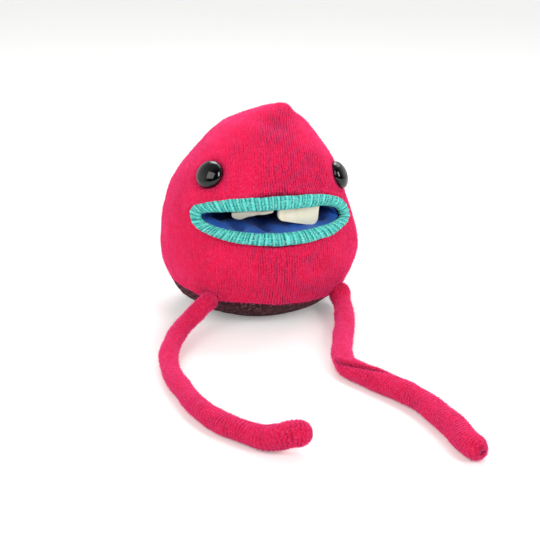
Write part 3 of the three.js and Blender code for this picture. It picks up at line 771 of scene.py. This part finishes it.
def nap(name, cover, count, length, material, seed):
    """Loose wool standing off a cover: fine fibres, each a closed three-sided sliver."""
    rng = np.random.default_rng(SEED + seed)
    mesh = cover.data
    mesh.calc_loop_triangles()
    points = rows_of(mesh.vertices, "co") / MM
    normals = rows_of(mesh.vertex_normals, "vector")
    corners = rows_of(mesh.loop_triangles, "vertices", 3, np.int32)
    first, second, third = (points[corners[:, k]] for k in range(3))
    area = np.linalg.norm(np.cross(second - first, third - first), axis=1)
    pick = rng.choice(len(corners), count, p=area / area.sum())
    share = rng.dirichlet((1, 1, 1), count)[:, :, None]
    root = (points[corners[pick]] * share).sum(axis=1)
    up = unit((normals[corners[pick]] * share).sum(axis=1))
    side = unit(np.cross(up, rng.normal(size=(count, 3))))
    beside = np.cross(up, side)
    reach = (length * rng.uniform(*NAP_REACHES, count))[:, None]
    tilt = rng.uniform(*NAP_TILTS, count)[:, None]
    lean = np.cos(tilt) * up + np.sin(tilt) * side
    ring = [root + reach * lean]
    for k in range(3):
        turn = 2 * math.pi * k / 3
        spoke = math.cos(turn) * beside + math.sin(turn) * np.cross(lean, beside)
        ring.append(root - NAP_THICKNESS * lean + NAP_THICKNESS * spoke)
    vertices = np.stack(ring, axis=1).reshape(-1, 3)
    vertices[:, 2] = np.maximum(vertices[:, 2], FLOOR_CLEARANCE)
    tip = np.arange(0, 4 * count, 4)[:, None]
    faces = np.concatenate([tip + f for f in ((0, 1, 2), (0, 2, 3), (0, 3, 1), (3, 2, 1))])
    made = bpy.data.meshes.new(name)
    made.from_pydata((vertices * MM).tolist(), [], faces.tolist())
    made.materials.append(material)
    piece = bpy.data.objects.new(name, made)
    bpy.context.scene.collection.objects.link(piece)
    return piece


# Body covers
def stuffed_relief(points):
    """How the stuffing and the sewing push the cover out or draw it in."""
    relief = ripples(points, *BROAD_SWELL) + ripples(points, *LUMP)
    relief -= NAP_ROOM
    for place, push, spread in SWELLS:
        relief += push * near(points, place, spread)
    for side in SIDES:
        seat = face_point(EYE_TURNS[side], EYE_LEVELS[side])
        relief -= EYE_DIMPLE * near(points, seat, EYE_DIMPLE_SPREAD)
        from_eye = np.linalg.norm(points - seat, axis=-1)
        relief += EYE_CUSHION * bell(from_eye - EYE_CUSHION_AT, EYE_CUSHION_SPREAD)
        above_hip = joint_place(f"{side}_hip_lift") + (0, 0, HIP_SWELL_RISE)
        relief += HIP_SWELL * near(points, above_hip, HIP_SWELL_SPREAD)
    return relief


def shaded_folds(points):
    """Painted shade where the cover lies in a fold: below the tip, round each eye and over each hip."""
    shade = TIP_SHADE * near(points, TIP_FOLD, TIP_FOLD_SPREAD)
    for side in SIDES:
        from_eye = np.linalg.norm(points - face_point(EYE_TURNS[side], EYE_LEVELS[side]), axis=-1)
        shade = shade + EYE_SHADE * bell(from_eye - EYE_RADIUS, EYE_SHADE_SPREAD)
        shade = shade + HIP_SHADE * near(points, joint_place(f"{side}_hip_lift"), HIP_SHADE_SPREAD)
    return shade


def edge_roll(distance, roll):
    """A sewn edge rolls in over its last little way."""
    return roll * np.clip(1 - distance / EDGE_ROLL_WIDTH, 0, 1) ** 2


def body_panel(name):
    """One of the two pink panels, from side seam to side seam and from the waist seam to the tip."""
    middle = PANELS[name]["middle"]
    more, clearest, spread = PANELS[name]["clearest"]
    columns, rows = PANEL_GRID
    turn = np.linspace(-90, 90, columns + 1)[None, :] + middle
    share = np.linspace(0, 1, rows + 1)[:, None]
    over_hips = sum(HIP_DRAPES[side] * bell(turn - HIP_TURNS[side], HIP_DRAPE_SPREAD) for side in SIDES)
    draped = SEAM_DRAPE + over_hips
    low = np.interp(seam_height(turn) - draped, PROFILE_HEIGHT, PROFILE_ARC)
    arc = low + (PROFILE_ARC[-1] - low) * share
    height = np.interp(arc, PROFILE_ARC, PROFILE_HEIGHT)
    radius = np.interp(arc, PROFILE_ARC, PROFILE_RADIUS)
    turn = np.broadcast_to(turn, height.shape)
    points = settled(radius, turn, height)
    normals = grid_normals(points)
    wales = np.radians(turn - middle) * radius / WALE + ripples(points, *WALE_SWAY)
    gauge = np.stack([wales, arc / COURSE], axis=-1)
    flare = np.clip(1 - (arc - low) / DRAPE_FLARE_HEIGHT, 0, 1)
    relief = stuffed_relief(points) + DRAPE_FLARE * draped * flare
    fade = np.clip(radius / TIP_FADE_RADIUS, 0, 1)
    shade = shaded_folds(points)
    clear = CLEAR_LEAST + more * bell(turn - clearest, spread)
    clear = clear * (CLEAR_FELTED + ripples(points, *FELTING))
    if middle == 0:
        mouth = mouth_distance(turn, height)
        groove = bell(mouth - LIP_GROOVE_AT, LIP_GROOVE_SPREAD)
        relief -= LIP_GROOVE * groove
        # Painted shade in the groove round the lip
        shade = shade + GROOVE_SHADE * groove
        above = np.clip((height - MOUTH_LEVEL) / BROW_RISE, 0, 1)
        relief += BROW_SWELL * (above * bell(mouth - BROW_SWELL_AT, BROW_SWELL_SPREAD))
    to_side = np.radians(90 - np.abs(turn - middle)) * radius
    relief -= edge_roll(arc - low, EDGE_ROLL) + edge_roll(to_side, SIDE_SEAM_ROLL) * fade
    relief -= WALE_RELIEF * np.clip(clear, WALE_RELIEF_LEAST, 1) * np.cos(2 * np.pi * wales) * fade
    points = points + normals * relief[..., None]
    unwanted = in_mouth if middle == 0 else None
    return sheet_piece(name, points, gauge, PINK, unwanted, clear=clear * fade, sunk=shade)


def in_mouth(centres):
    height = centres[:, 2]
    x = centres[:, 0] - lean_at(height)
    turn = np.degrees(np.arctan2(x, -centres[:, 1] / DEPTH_RATIO))
    return mouth_distance(turn, height) < -MOUTH_TUCK


def base_cover():
    """The brown base, from the waist seam down and across the flat patch to its middle."""
    columns, rows = BASE_GRID
    turn = np.linspace(-180, 180, columns + 1)[None, :]
    share = np.linspace(0, 1, rows + 1)[:, None]
    seam_arc = np.interp(seam_height(turn), PROFILE_HEIGHT, PROFILE_ARC)
    arc = (seam_arc + BODY_RADII[0]) * share - BODY_RADII[0]
    height = np.interp(arc, PROFILE_ARC, PROFILE_HEIGHT)
    radius = np.where(arc < 0, BODY_RADII[0] + arc, np.interp(arc, PROFILE_ARC, PROFILE_RADIUS))
    turn = np.broadcast_to(turn, height.shape)
    points = settled(radius, turn, height)
    normals = grid_normals(points)
    gauge = np.stack([np.radians(turn) * SEAM_RADIUS / WALE, arc / COURSE], axis=-1)
    relief = ripples(points, *BASE_SWELL) + ripples(points, *BASE_PEBBLE)
    relief -= edge_roll(seam_arc - arc, EDGE_ROLL)
    relief = relief * np.clip(height / BASE_FLAT_HEIGHT, 0, 1)
    placed = points + normals * relief[..., None]
    placed[..., 2] = np.maximum(placed[..., 2], FLOOR_CLEARANCE)
    # Painted shade on the brown just below the waist seam, under the pink edge
    shade = np.clip(1 - (seam_arc - arc) / BASE_SHADE_WIDTH, 0, 1)
    return sheet_piece("base_cover", placed, gauge, BROWN, clear=BASE_CLEAR, sunk=shade)


# Mouth
def even_loop(count):
    """Angles round the mouth that are evenly spaced along the lip, and the lip's length."""
    fine = np.linspace(0, 2 * np.pi, LIP_LOOP_STEPS + 1)
    arc = arc_along(mouth_point(fine, 0.0, np.full(fine.shape, LIP_PROUD)))
    return np.interp(np.linspace(0, arc[-1], count + 1), arc, fine), arc[-1]


def ribbed_lip():
    """The ribbed cuff round the mouth: a flat band of raised pairs of wales with a lower wale between them,
    painted in shade.
    """
    ribs = round(even_loop(1)[1] / RIB_REPEAT)
    count = ribs * RIB_STEPS
    angle = even_loop(count)[0][None, :]
    section = np.linspace(0, 2 * np.pi, LIP_SECTION_STEPS + 1)[:, None]
    along = np.linspace(0, ribs, count + 1)[None, :]
    round_trip = along * 2 * np.pi / ribs
    sway = sum(reach * np.sin(times * round_trip + start) for reach, times, start in RIB_SWAYS)
    phase = (along + sway) % 1
    raised = np.clip(np.minimum(phase, RIB_SHARE - phase) / RIB_SLOPE, 0, 1)
    stand = RIB_DEPTH * (raised - 0.5)
    wide = np.sign(np.cos(section)) * np.abs(np.cos(section)) ** LIP_FLATNESS
    deep = np.sign(np.sin(section)) * np.abs(np.sin(section)) ** LIP_FLATNESS
    grow = (LIP_HALF_WIDTH + RIB_WIDENING * stand) * wide
    out = LIP_PROUD + (LIP_HALF_DEPTH + stand) * deep
    points = mouth_point(np.broadcast_to(angle, grow.shape), grow, out)
    points = points + ripples(points, *LIP_WAVER)[..., None] * (0, 0, 1)
    wales = (along + sway) * RIB_WALES
    gauge = np.stack(np.broadcast_arrays(wales, section * LIP_HALF_WIDTH / COURSE), axis=-1)
    return sheet_piece("ribbed_lip", points, gauge, TURQUOISE, clear=1.0, sunk=RIB_SHADE * (1 - raised))


def mouth_pouch():
    """The lining: a slack pouch sewn to the lip, its upper side hanging and its floor lying in soft folds."""
    around, deep = POUCH_GRID
    angle = np.linspace(0, 2 * np.pi, around + 1)[None, :]
    share = np.linspace(0, 1, deep + 1)[:, None]
    front = mouth_point(angle, -LINING_INSET, np.full(angle.shape, LINING_FRONT))
    centre = face_point(MOUTH_TURN, MOUTH_LEVEL)
    back = np.stack(np.broadcast_arrays(
        centre[0] / 2 + (POCKET_END_HALF_WIDTH - LINING_INSET) * np.cos(angle),
        centre[1] + POCKET_DEPTH,
        MOUTH_LEVEL + (POCKET_END_HALF_HEIGHT - LINING_INSET) * np.sin(angle)), axis=-1)
    pole = np.array([centre[0] / 2, 0, MOUTH_LEVEL])
    wall = np.clip(share / POCKET_WALL_SHARE, 0, 1)[..., None]
    points = front + (back - front) * wall
    cap = np.clip((share - POCKET_WALL_SHARE) / (1 - POCKET_WALL_SHARE), 0, 1) * np.pi / 2
    drawn = (1 - np.cos(cap))[..., None]
    points = points + (pole - points * (1, 0, 1)) * drawn
    points[..., 1] += (POCKET_END_BULGE - LINING_INSET) * np.sin(cap)
    slack = np.clip(share / LINING_SLACK_FROM, 0, 1) * np.clip((1 - share) / LINING_SLACK_TO, 0, 1)
    stretched = points * (1, LINING_FOLD_STRETCH, 1)
    folds = LINING_FOLD_HEIGHT * (LINING_FOLD_LEVEL - np.abs(ripples(stretched, *LINING_FOLD)))
    folds = folds + ripples(points, *LINING_CREASE)
    points[..., 2] += folds * slack * np.where(np.sin(angle) < 0, LINING_FLOOR_SLACK, LINING_ROOF_SLACK)
    points[..., 1] += LINING_FOLD_BACK * folds * slack
    gauge = np.stack(np.broadcast_arrays(angle * LINING_GAUGE[0], share * LINING_GAUGE[1]), axis=-1)
    # Painted shade, deeper into the pocket and in the valleys of the folds
    depths = LINING_SHADE * np.clip((share - LINING_SHADE_FROM) / LINING_SHADE_RUN, 0, 1)
    depths = depths + LINING_FOLD_SHADE * np.clip(-folds * slack, 0, 1)
    pouch = sheet_piece("mouth_pouch", points, gauge, LINING, sunk=depths)
    thicken(pouch, LINING_WALL)
    return pouch


def tooth(side):
    """A felt tooth: a flat plate with round lower corners, hung from its sewn edge and tilted as it lies."""
    cut = TEETH[side]
    hinge = JOINTS[f"{side}_tooth_flap"]
    across = Vector(hinge["axis"]).normalized()
    back = Vector((0, 0, 1)).cross(across).normalized()
    place = Matrix((across, back, across.cross(back))).transposed().to_4x4()
    place.translation = Vector(hinge["pos_m"])
    tilt = Matrix.Rotation(math.radians(cut["tilt"]), 4, "X")
    columns, rows = TOOTH_GRID
    piece = added(f"{side}_felt_tooth", bpy.ops.mesh.primitive_grid_add,
                  x_subdivisions=columns, y_subdivisions=rows, size=1)
    half = cut["width"] / 2
    for vertex in piece.data.vertices:
        u, v = vertex.co.x * 2, vertex.co.y + 0.5
        length = np.interp(u, (-1, 1), cut["lengths"])
        corner = min(TOOTH_CORNER, length * TOOTH_CORNER_SHARE)
        up = (1 - math.cos(v * math.pi / 2)) * length
        tuck = max(0.0, 1 - up / corner)
        inset = corner * (1 - math.sqrt(max(0.0, 1 - tuck ** 2)))
        vertex.co = (u * (half - inset) + cut["shift"], 0, TOOTH_THICKNESS / 2 - length + up)
    wall = piece.modifiers.new("felt", "SOLIDIFY")
    wall.thickness = TOOTH_THICKNESS - TOOTH_PRESSED
    wall.offset = 0
    edge = piece.modifiers.new("edge", "BEVEL")
    edge.width = TOOTH_EDGE
    edge.segments = TOOTH_EDGE_STEPS
    edge.limit_method = "ANGLE"
    for modifier in list(piece.modifiers):
        bpy.ops.object.modifier_apply(modifier=modifier.name)
    points = rows_of(piece.data.vertices, "co")
    bow = ripples(points * (1, TOOTH_BOW_STRETCH, 1), *TOOTH_BOW[side]) + ripples(points, *TOOTH_PEBBLE)
    points[:, 1] += bow
    piece.data.vertices.foreach_set("co", (points * MM).ravel().astype(np.float32))
    piece.data.transform(place @ tilt)
    piece.data.materials.append(FELT)
    weld(piece)
    return piece


def eye(side):
    """A domed safety eye on its shank: a low rim, a round crown and a stem that runs into the stuffing."""
    seat = face_point(EYE_TURNS[side], EYE_LEVELS[side], -EYE_SUNK)
    normal = Vector(face_point(EYE_TURNS[side], EYE_LEVELS[side], 1 - EYE_SUNK) - seat).normalized()
    columns, rows = EYE_GRID
    piece = added(f"{side}_safety_eye", bpy.ops.mesh.primitive_uv_sphere_add,
                  segments=columns, ring_count=rows, radius=EYE_RADIUS)
    enter("EDIT")
    bpy.ops.mesh.select_all(action="SELECT")
    bpy.ops.mesh.bisect(plane_co=(0, 0, 0), plane_no=(0, 0, 1), clear_inner=True)
    bpy.ops.mesh.select_all(action="SELECT")
    crown = (EYE_HEIGHT - EYE_RIM) / EYE_RADIUS
    bpy.ops.transform.resize(value=(1, 1, crown), center_override=(0, 0, 0))
    bpy.ops.mesh.select_all(action="DESELECT")
    enter("OBJECT")
    for edge in piece.data.edges:
        edge.select = all(abs(piece.data.vertices[v].co.z) < EYE_CUT_NEAR for v in edge.vertices)
    enter("EDIT")
    bpy.ops.mesh.select_mode(type="EDGE")
    upright, rounded = EYE_RIM_STEPS
    steps = ((1.0, EYE_RIM * upright), (EYE_RIM_TAPER, EYE_RIM * rounded),
             (SHANK_RADIUS / EYE_RADIUS / EYE_RIM_TAPER, 0.0), (1.0, SHANK_LENGTH))
    for scale, drop in steps:
        bpy.ops.mesh.extrude_region_move(TRANSFORM_OT_translate={"value": (0, 0, -drop)})
        bpy.ops.transform.resize(value=(scale, scale, 1), center_override=(0, 0, 0))
    bpy.ops.mesh.edge_face_add()
    enter("OBJECT")
    turn = Vector((0, 0, 1)).rotation_difference(normal).to_matrix().to_4x4()
    stand = Matrix.Translation(Vector(seat)) @ turn @ Matrix.Translation((0, 0, EYE_RIM))
    piece.data.transform(Matrix.Scale(MM, 4) @ stand)
    piece.data.materials.append(ACRYLIC)
    weld(piece, EYE_WELD)
    bpy.ops.object.shade_smooth_by_angle(angle=math.radians(EYE_SMOOTH_ANGLE))
    return piece


# Legs
def heading(turn, slope=0.0):
    level = math.cos(math.radians(slope))
    return np.array([math.sin(math.radians(turn)) * level, -math.cos(math.radians(turn)) * level,
                     math.sin(math.radians(slope))])


def leg_line(side):
    """Distances along a leg from hip to toe, its middle line there, and the distances of its joints."""
    leg_of = LEGS[side]
    stops = [joint_place(f"{side}_{name}") for name in ("hip_lift", "knee_fold", "ankle_turn")]
    length, run = leg_of["foot"]
    toe = stops[-1] + heading(run) * length
    toe[2] = LEG_RADII[-1] + LEG_LIFT + leg_of["toe_lift"]
    stops.append(toe)
    line, joints = [stops[0][None, :]], []
    for k, (leaves, arrives) in enumerate(leg_of["headings"]):
        out = heading(leaves, leg_of["slope"] if k == 0 else 0.0)
        into = heading(arrives)
        first, last = stops[k] + out * JOINT_STUB, stops[k + 1] - into * JOINT_STUB
        handle = np.linalg.norm(last - first) / 3
        t = np.linspace(0, 1, BEND_POINTS)[1:, None]
        bend = ((1 - t) ** 3 * first + 3 * (1 - t) ** 2 * t * (first + out * handle)
                + 3 * (1 - t) * t ** 2 * (last - into * handle) + t ** 3 * last)
        stub = np.linspace(0, 1, STUB_POINTS)[1:, None]
        line += [stops[k] + (first - stops[k]) * stub, bend, last + (stops[k + 1] - last) * stub]
        joints.append(sum(len(part) for part in line) - 1)
    line = np.concatenate(line)
    arc = arc_along(line)
    even = np.arange(0, arc[-1], LINE_STEP)
    plain = points_at(even, arc, line)
    steps = np.arange(1, LINE_EASE + 1)
    before = plain[0] - np.outer(steps[::-1], plain[1] - plain[0])
    after = plain[-1] + np.outer(steps, plain[-1] - plain[-2])
    window = np.hanning(2 * LINE_EASE + 1)
    window /= window.sum()
    longer = np.concatenate([before, plain, after])
    eased = np.stack([np.convolve(longer[:, k], window, mode="valid") for k in range(3)], axis=1)
    marks = [arc[k] for k in joints]
    eased[:, 2] -= np.interp(even, [0, *marks], leg_of["slim"]) * np.clip(even / LEG_SETTLE, 0, 1)
    return even, eased, marks


def leg_crease(from_knee, turn, radius):
    """The crease that runs from inside the bent knee along the lower leg: where it cuts in, and its lip."""
    share = np.clip(from_knee / CREASE_LENGTH, 0, 1)
    path = np.radians(CREASE_TURNS[0] + (CREASE_TURNS[1] - CREASE_TURNS[0]) * share)
    off = np.angle(np.exp(1j * (turn - path))) * radius
    fade = np.clip((CREASE_LENGTH + CREASE_PAST - from_knee) / CREASE_END, 0, 1)
    fade = np.clip(from_knee / CREASE_START, 0, 1) * fade
    return fade * bell(off, CREASE_WIDTH), fade * bell(off - CREASE_LIP_AT, CREASE_LIP_SPREAD)


def leg_piece(name, side, start, stop, line, marks):
    """One stretch of a leg: a stuffed knitted tube, closed at both ends, between two distances along it."""
    even, centre, _ = line
    full = even[-1]
    toe_start = full - TOE_ROUND
    last = min(stop, toe_start)
    distance = np.linspace(start, last, int((last - start) / LEG_RING * ROWS_PER_RING))
    if stop == full:
        rounding = np.sin(np.linspace(0, math.pi / 2, TOE_ROWS + 1)[1:])
        distance = np.concatenate([distance, toe_start + TOE_ROUND * rounding])
    middle = points_at(distance, even, centre)
    ahead = points_at(distance + LINE_REACH, even, centre) - points_at(distance - LINE_REACH, even, centre)
    ahead[distance > full - 1] = ahead[distance <= full - 1][-1]
    ahead = unit(ahead)
    across = unit(np.cross(ahead, (0, 0, 1)))
    top = np.cross(across, ahead)
    turn = np.linspace(0, 2 * np.pi, LEG_COLUMNS + 1)
    spoke = np.cos(turn)[None, :, None] * across[:, None, :] + np.sin(turn)[None, :, None] * top[:, None, :]
    radius = np.interp(distance, [0, *marks], np.subtract(LEG_RADII, LEGS[side]["slim"]))
    neck = np.clip(distance / HIP_NECK_LENGTH, 0, 1)
    radius = HIP_NECKS[side] + (radius - HIP_NECKS[side]) * np.sin(neck * math.pi / 2)
    plain = middle[:, None, :] + spoke * radius[:, None, None]
    distance = distance[:, None]
    radius = radius[:, None] + ripples(plain, *LEG_SWELL) + ripples(plain, *LEG_LUMP)
    radius += HIP_RISES[side] * bell(distance, HIP_RISE_SPREAD) * np.clip(np.sin(turn), 0, 1)[None, :]
    lower = np.clip(distance / full * LEG_LOWER_GROWS - LEG_LOWER_FROM, 0, 1)
    clear = (LEG_CLEAR[0] + LEG_CLEAR[1] * lower) * (LEG_CLEAR_FELTED + ripples(plain, *LEG_FELTING))
    rings = distance / LEG_RING + ripples(plain, *RING_SWAY)
    radius -= (LEG_RING_RELIEF[0] + LEG_RING_RELIEF[1] * lower) * np.cos(2 * np.pi * rings)
    # Painted shade: the leg darker all over and more near the hip, under the body
    shade = (LEG_SHADE + LEG_HIP_SHADE * bell(distance, LEG_HIP_SHADE_SPREAD)) * np.ones_like(radius)
    if side == "right":
        cut, lip_of_cut = leg_crease(distance - marks[0] + CREASE_LEAD, turn[None, :], radius)
        radius += CREASE_LIP * lip_of_cut - CREASE_DEPTH * cut
        # Painted shade in the crease
        shade = shade + CREASE_SHADE * cut
    at_toe = np.clip(1 - (full - distance) / TOE_ROUND, 0, 1)
    radius *= 1 - TOE_PLEAT * at_toe * np.cos(TOE_PLEATS * turn + 1)[None, :]
    radius *= np.sqrt(1 - at_toe ** 2)
    drawn = TOE_GATHER * bell(radius, TOE_GATHER_SPREAD)
    drawn = drawn + TOE_SEAM * bell(radius - TOE_SEAM_RADIUS, TOE_SEAM_SPREAD)
    in_last_third = np.clip(at_toe * 3 - 2, 0, 1)
    drawn = drawn * in_last_third
    # Painted shade where the toe is drawn in
    shade = shade + TOE_SHADE * drawn
    points = middle[:, None, :] + spoke * radius[..., None] - ahead[:, None, :] * drawn[..., None]
    gauge = np.stack(np.broadcast_arrays(rings, turn[None, :] * LEG_RADII[1] / COURSE), axis=-1)
    if start == 0:
        ball = np.linspace(math.pi, math.pi / 2, BALL_ROWS + 1)[:-1, None, None]
        wide = np.sin(ball) * radius[0][None, :, None]
        cap = middle[0] + HIP_NECKS[side] * np.cos(ball) * ahead[0] + wide * spoke[0][None]
    else:
        cap = np.broadcast_to(middle[0], (1, *spoke[0].shape))
    grids = [np.concatenate([cap, points])]
    for grid in (gauge, clear, shade):
        grids.append(np.concatenate([np.repeat(grid[:1], len(cap), axis=0), grid]))
    if stop < full:
        ends = np.broadcast_to(middle[-1], (1, *spoke[0].shape))
        grids = [np.concatenate([grids[0], ends])] + [np.concatenate([g, g[-1:]]) for g in grids[1:]]
    points, gauge, clear, shade = grids
    points[..., 2] = np.maximum(points[..., 2], FLOOR_CLEARANCE)
    return sheet_piece(name, points, gauge, PINK, clear=clear, sunk=shade)


def leg(side):
    """A leg's three stretches, each split half way along a length, and the loose wool on them."""
    line = leg_line(side)
    even, centre, (knee, ankle, _) = line
    full = even[-1]
    stretches = (
        ("thigh", 0.0, knee / 2, None, ("leg_root", "upper_leg_cover", "upper_leg_filling")),
        ("knee", knee / 2, (knee + ankle) / 2, knee, ("lower_leg_cover", "lower_leg_filling")),
        ("foot", (knee + ankle) / 2, full, ankle, ("foot_cover", "foot_filling")),
    )
    for k, (name, start, stop, bend, stands_for) in enumerate(stretches):
        piece = leg_piece(f"{side}_{name}", side, start, stop, line, [knee, ankle, full])
        fibres = int(LEG_NAP_PER_MM * (stop - start))
        wool = nap(f"{side}_{name}_nap", piece, fibres, NAP_LENGTH, PINK_NAP, LEG_NAP_SEED + k + len(side))
        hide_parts(*[f"{side}_{node}" for node in stands_for])
        for part in (piece, wool):
            if bend is None:
                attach(part, f"{side}_upper_leg")
            else:
                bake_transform(part)


# Stage
def studio():
    """A white sweep in a room that is light behind and dark in front, with three soft boxes and a scrim."""
    scene = bpy.context.scene
    scene.view_settings.view_transform = "Standard"
    floor = added("floor", bpy.ops.mesh.primitive_plane_add, size=FLOOR_SIZE)
    floor.data.materials.append(PAPER)
    for name, place, (wide, tall), watts in LAMPS:
        lamp = added(name, bpy.ops.object.light_add, type="AREA", location=place)
        lamp.data.shape = "RECTANGLE"
        lamp.data.size = wide
        lamp.data.size_y = tall
        lamp.data.energy = watts
        aim = Vector(LAMP_AIM) - Vector(place)
        lamp.rotation_euler = aim.to_track_quat("-Z", "Y").to_euler()
    scrim = added("scrim", bpy.ops.object.light_add, type="SUN", location=SCRIM_PLACE)
    scrim.data.energy = SCRIM_STRENGTH
    scrim.data.angle = math.radians(SCRIM_ANGLE)
    scrim.rotation_euler = (math.radians(SCRIM_TILT[0]), math.radians(SCRIM_TILT[1]), 0)
    world = bpy.data.worlds.new("studio")
    world.use_nodes = True
    tree = world.node_tree
    node = partial(add_node, tree)
    looking = node("TexCoord", output="Generated")
    axes = node("SeparateXYZ", {0: looking}).node.outputs
    light = node("MapRange", {"Value": axes["Y"], "From Min": ROOM_DARK_TO, "From Max": ROOM_LIGHT_FROM,
                              "To Min": ROOM_DARK, "To Max": ROOM_LIGHT}, interpolation_type="SMOOTHSTEP")
    ceiling = node("MapRange", {"Value": axes["Z"], "From Min": CEILING_FROM, "From Max": CEILING_TO,
                                "To Min": 1.0, "To Max": CEILING_SHARE})
    level = node("Math", {0: light, 1: ceiling}, operation="MULTIPLY")
    # The camera sees the room as white. Mirrors see it as it is, so that the black eyes stay black.
    seen = node("LightPath", output="Is Camera Ray")
    shown = node("Math", {0: level, 1: seen}, operation="MAXIMUM")
    set_inputs(tree, tree.nodes["Background"], {"Color": linear("#FFFFFF"), "Strength": shown})
    scene.world = world


def camera():
    turn, rise = math.radians(VIEW_TURN), math.radians(VIEW_RISE)
    back = Vector((math.sin(turn) * math.cos(rise), -math.cos(turn) * math.cos(rise), math.sin(rise)))
    place = (Vector(VIEW_AIM) + back * VIEW_DISTANCE) * MM
    view = added("camera", bpy.ops.object.camera_add, location=place)
    view.rotation_euler = (-back).to_track_quat("-Z", "Y").to_euler()
    view.data.sensor_width = SENSOR
    view.data.lens = LENS
    bpy.context.scene.camera = view


camera()
studio()

front = body_panel("body_front")
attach(front, "body")
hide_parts("body_front_panel", "body_stuffing")
rear = body_panel("body_back")
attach(rear, "body")
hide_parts("body_back_panel")
base = base_cover()
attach(base, "body")
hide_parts("base_panel")
for number, cover in enumerate((front, rear)):
    wool = nap(f"{cover.name}_nap", cover, BODY_NAP, NAP_LENGTH, PINK_NAP, BODY_NAP_SEED + number)
    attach(wool, "body")

lip = ribbed_lip()
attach(lip, "body")
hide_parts("mouth_lip")
pouch = mouth_pouch()
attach(pouch, "body")
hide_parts("mouth_lining")
for side in SIDES:
    plate = tooth(side)
    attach(plate, f"{side}_tooth")
    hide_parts(f"{side}_tooth")
    ball = eye(side)
    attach(ball, "body")
    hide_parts(f"{side}_eye")
    washer = frame["nodes"][f"{side}_eye_washer"]
    washer.data.materials.clear()
    washer.data.materials.append(NYLON)
    leg(side)
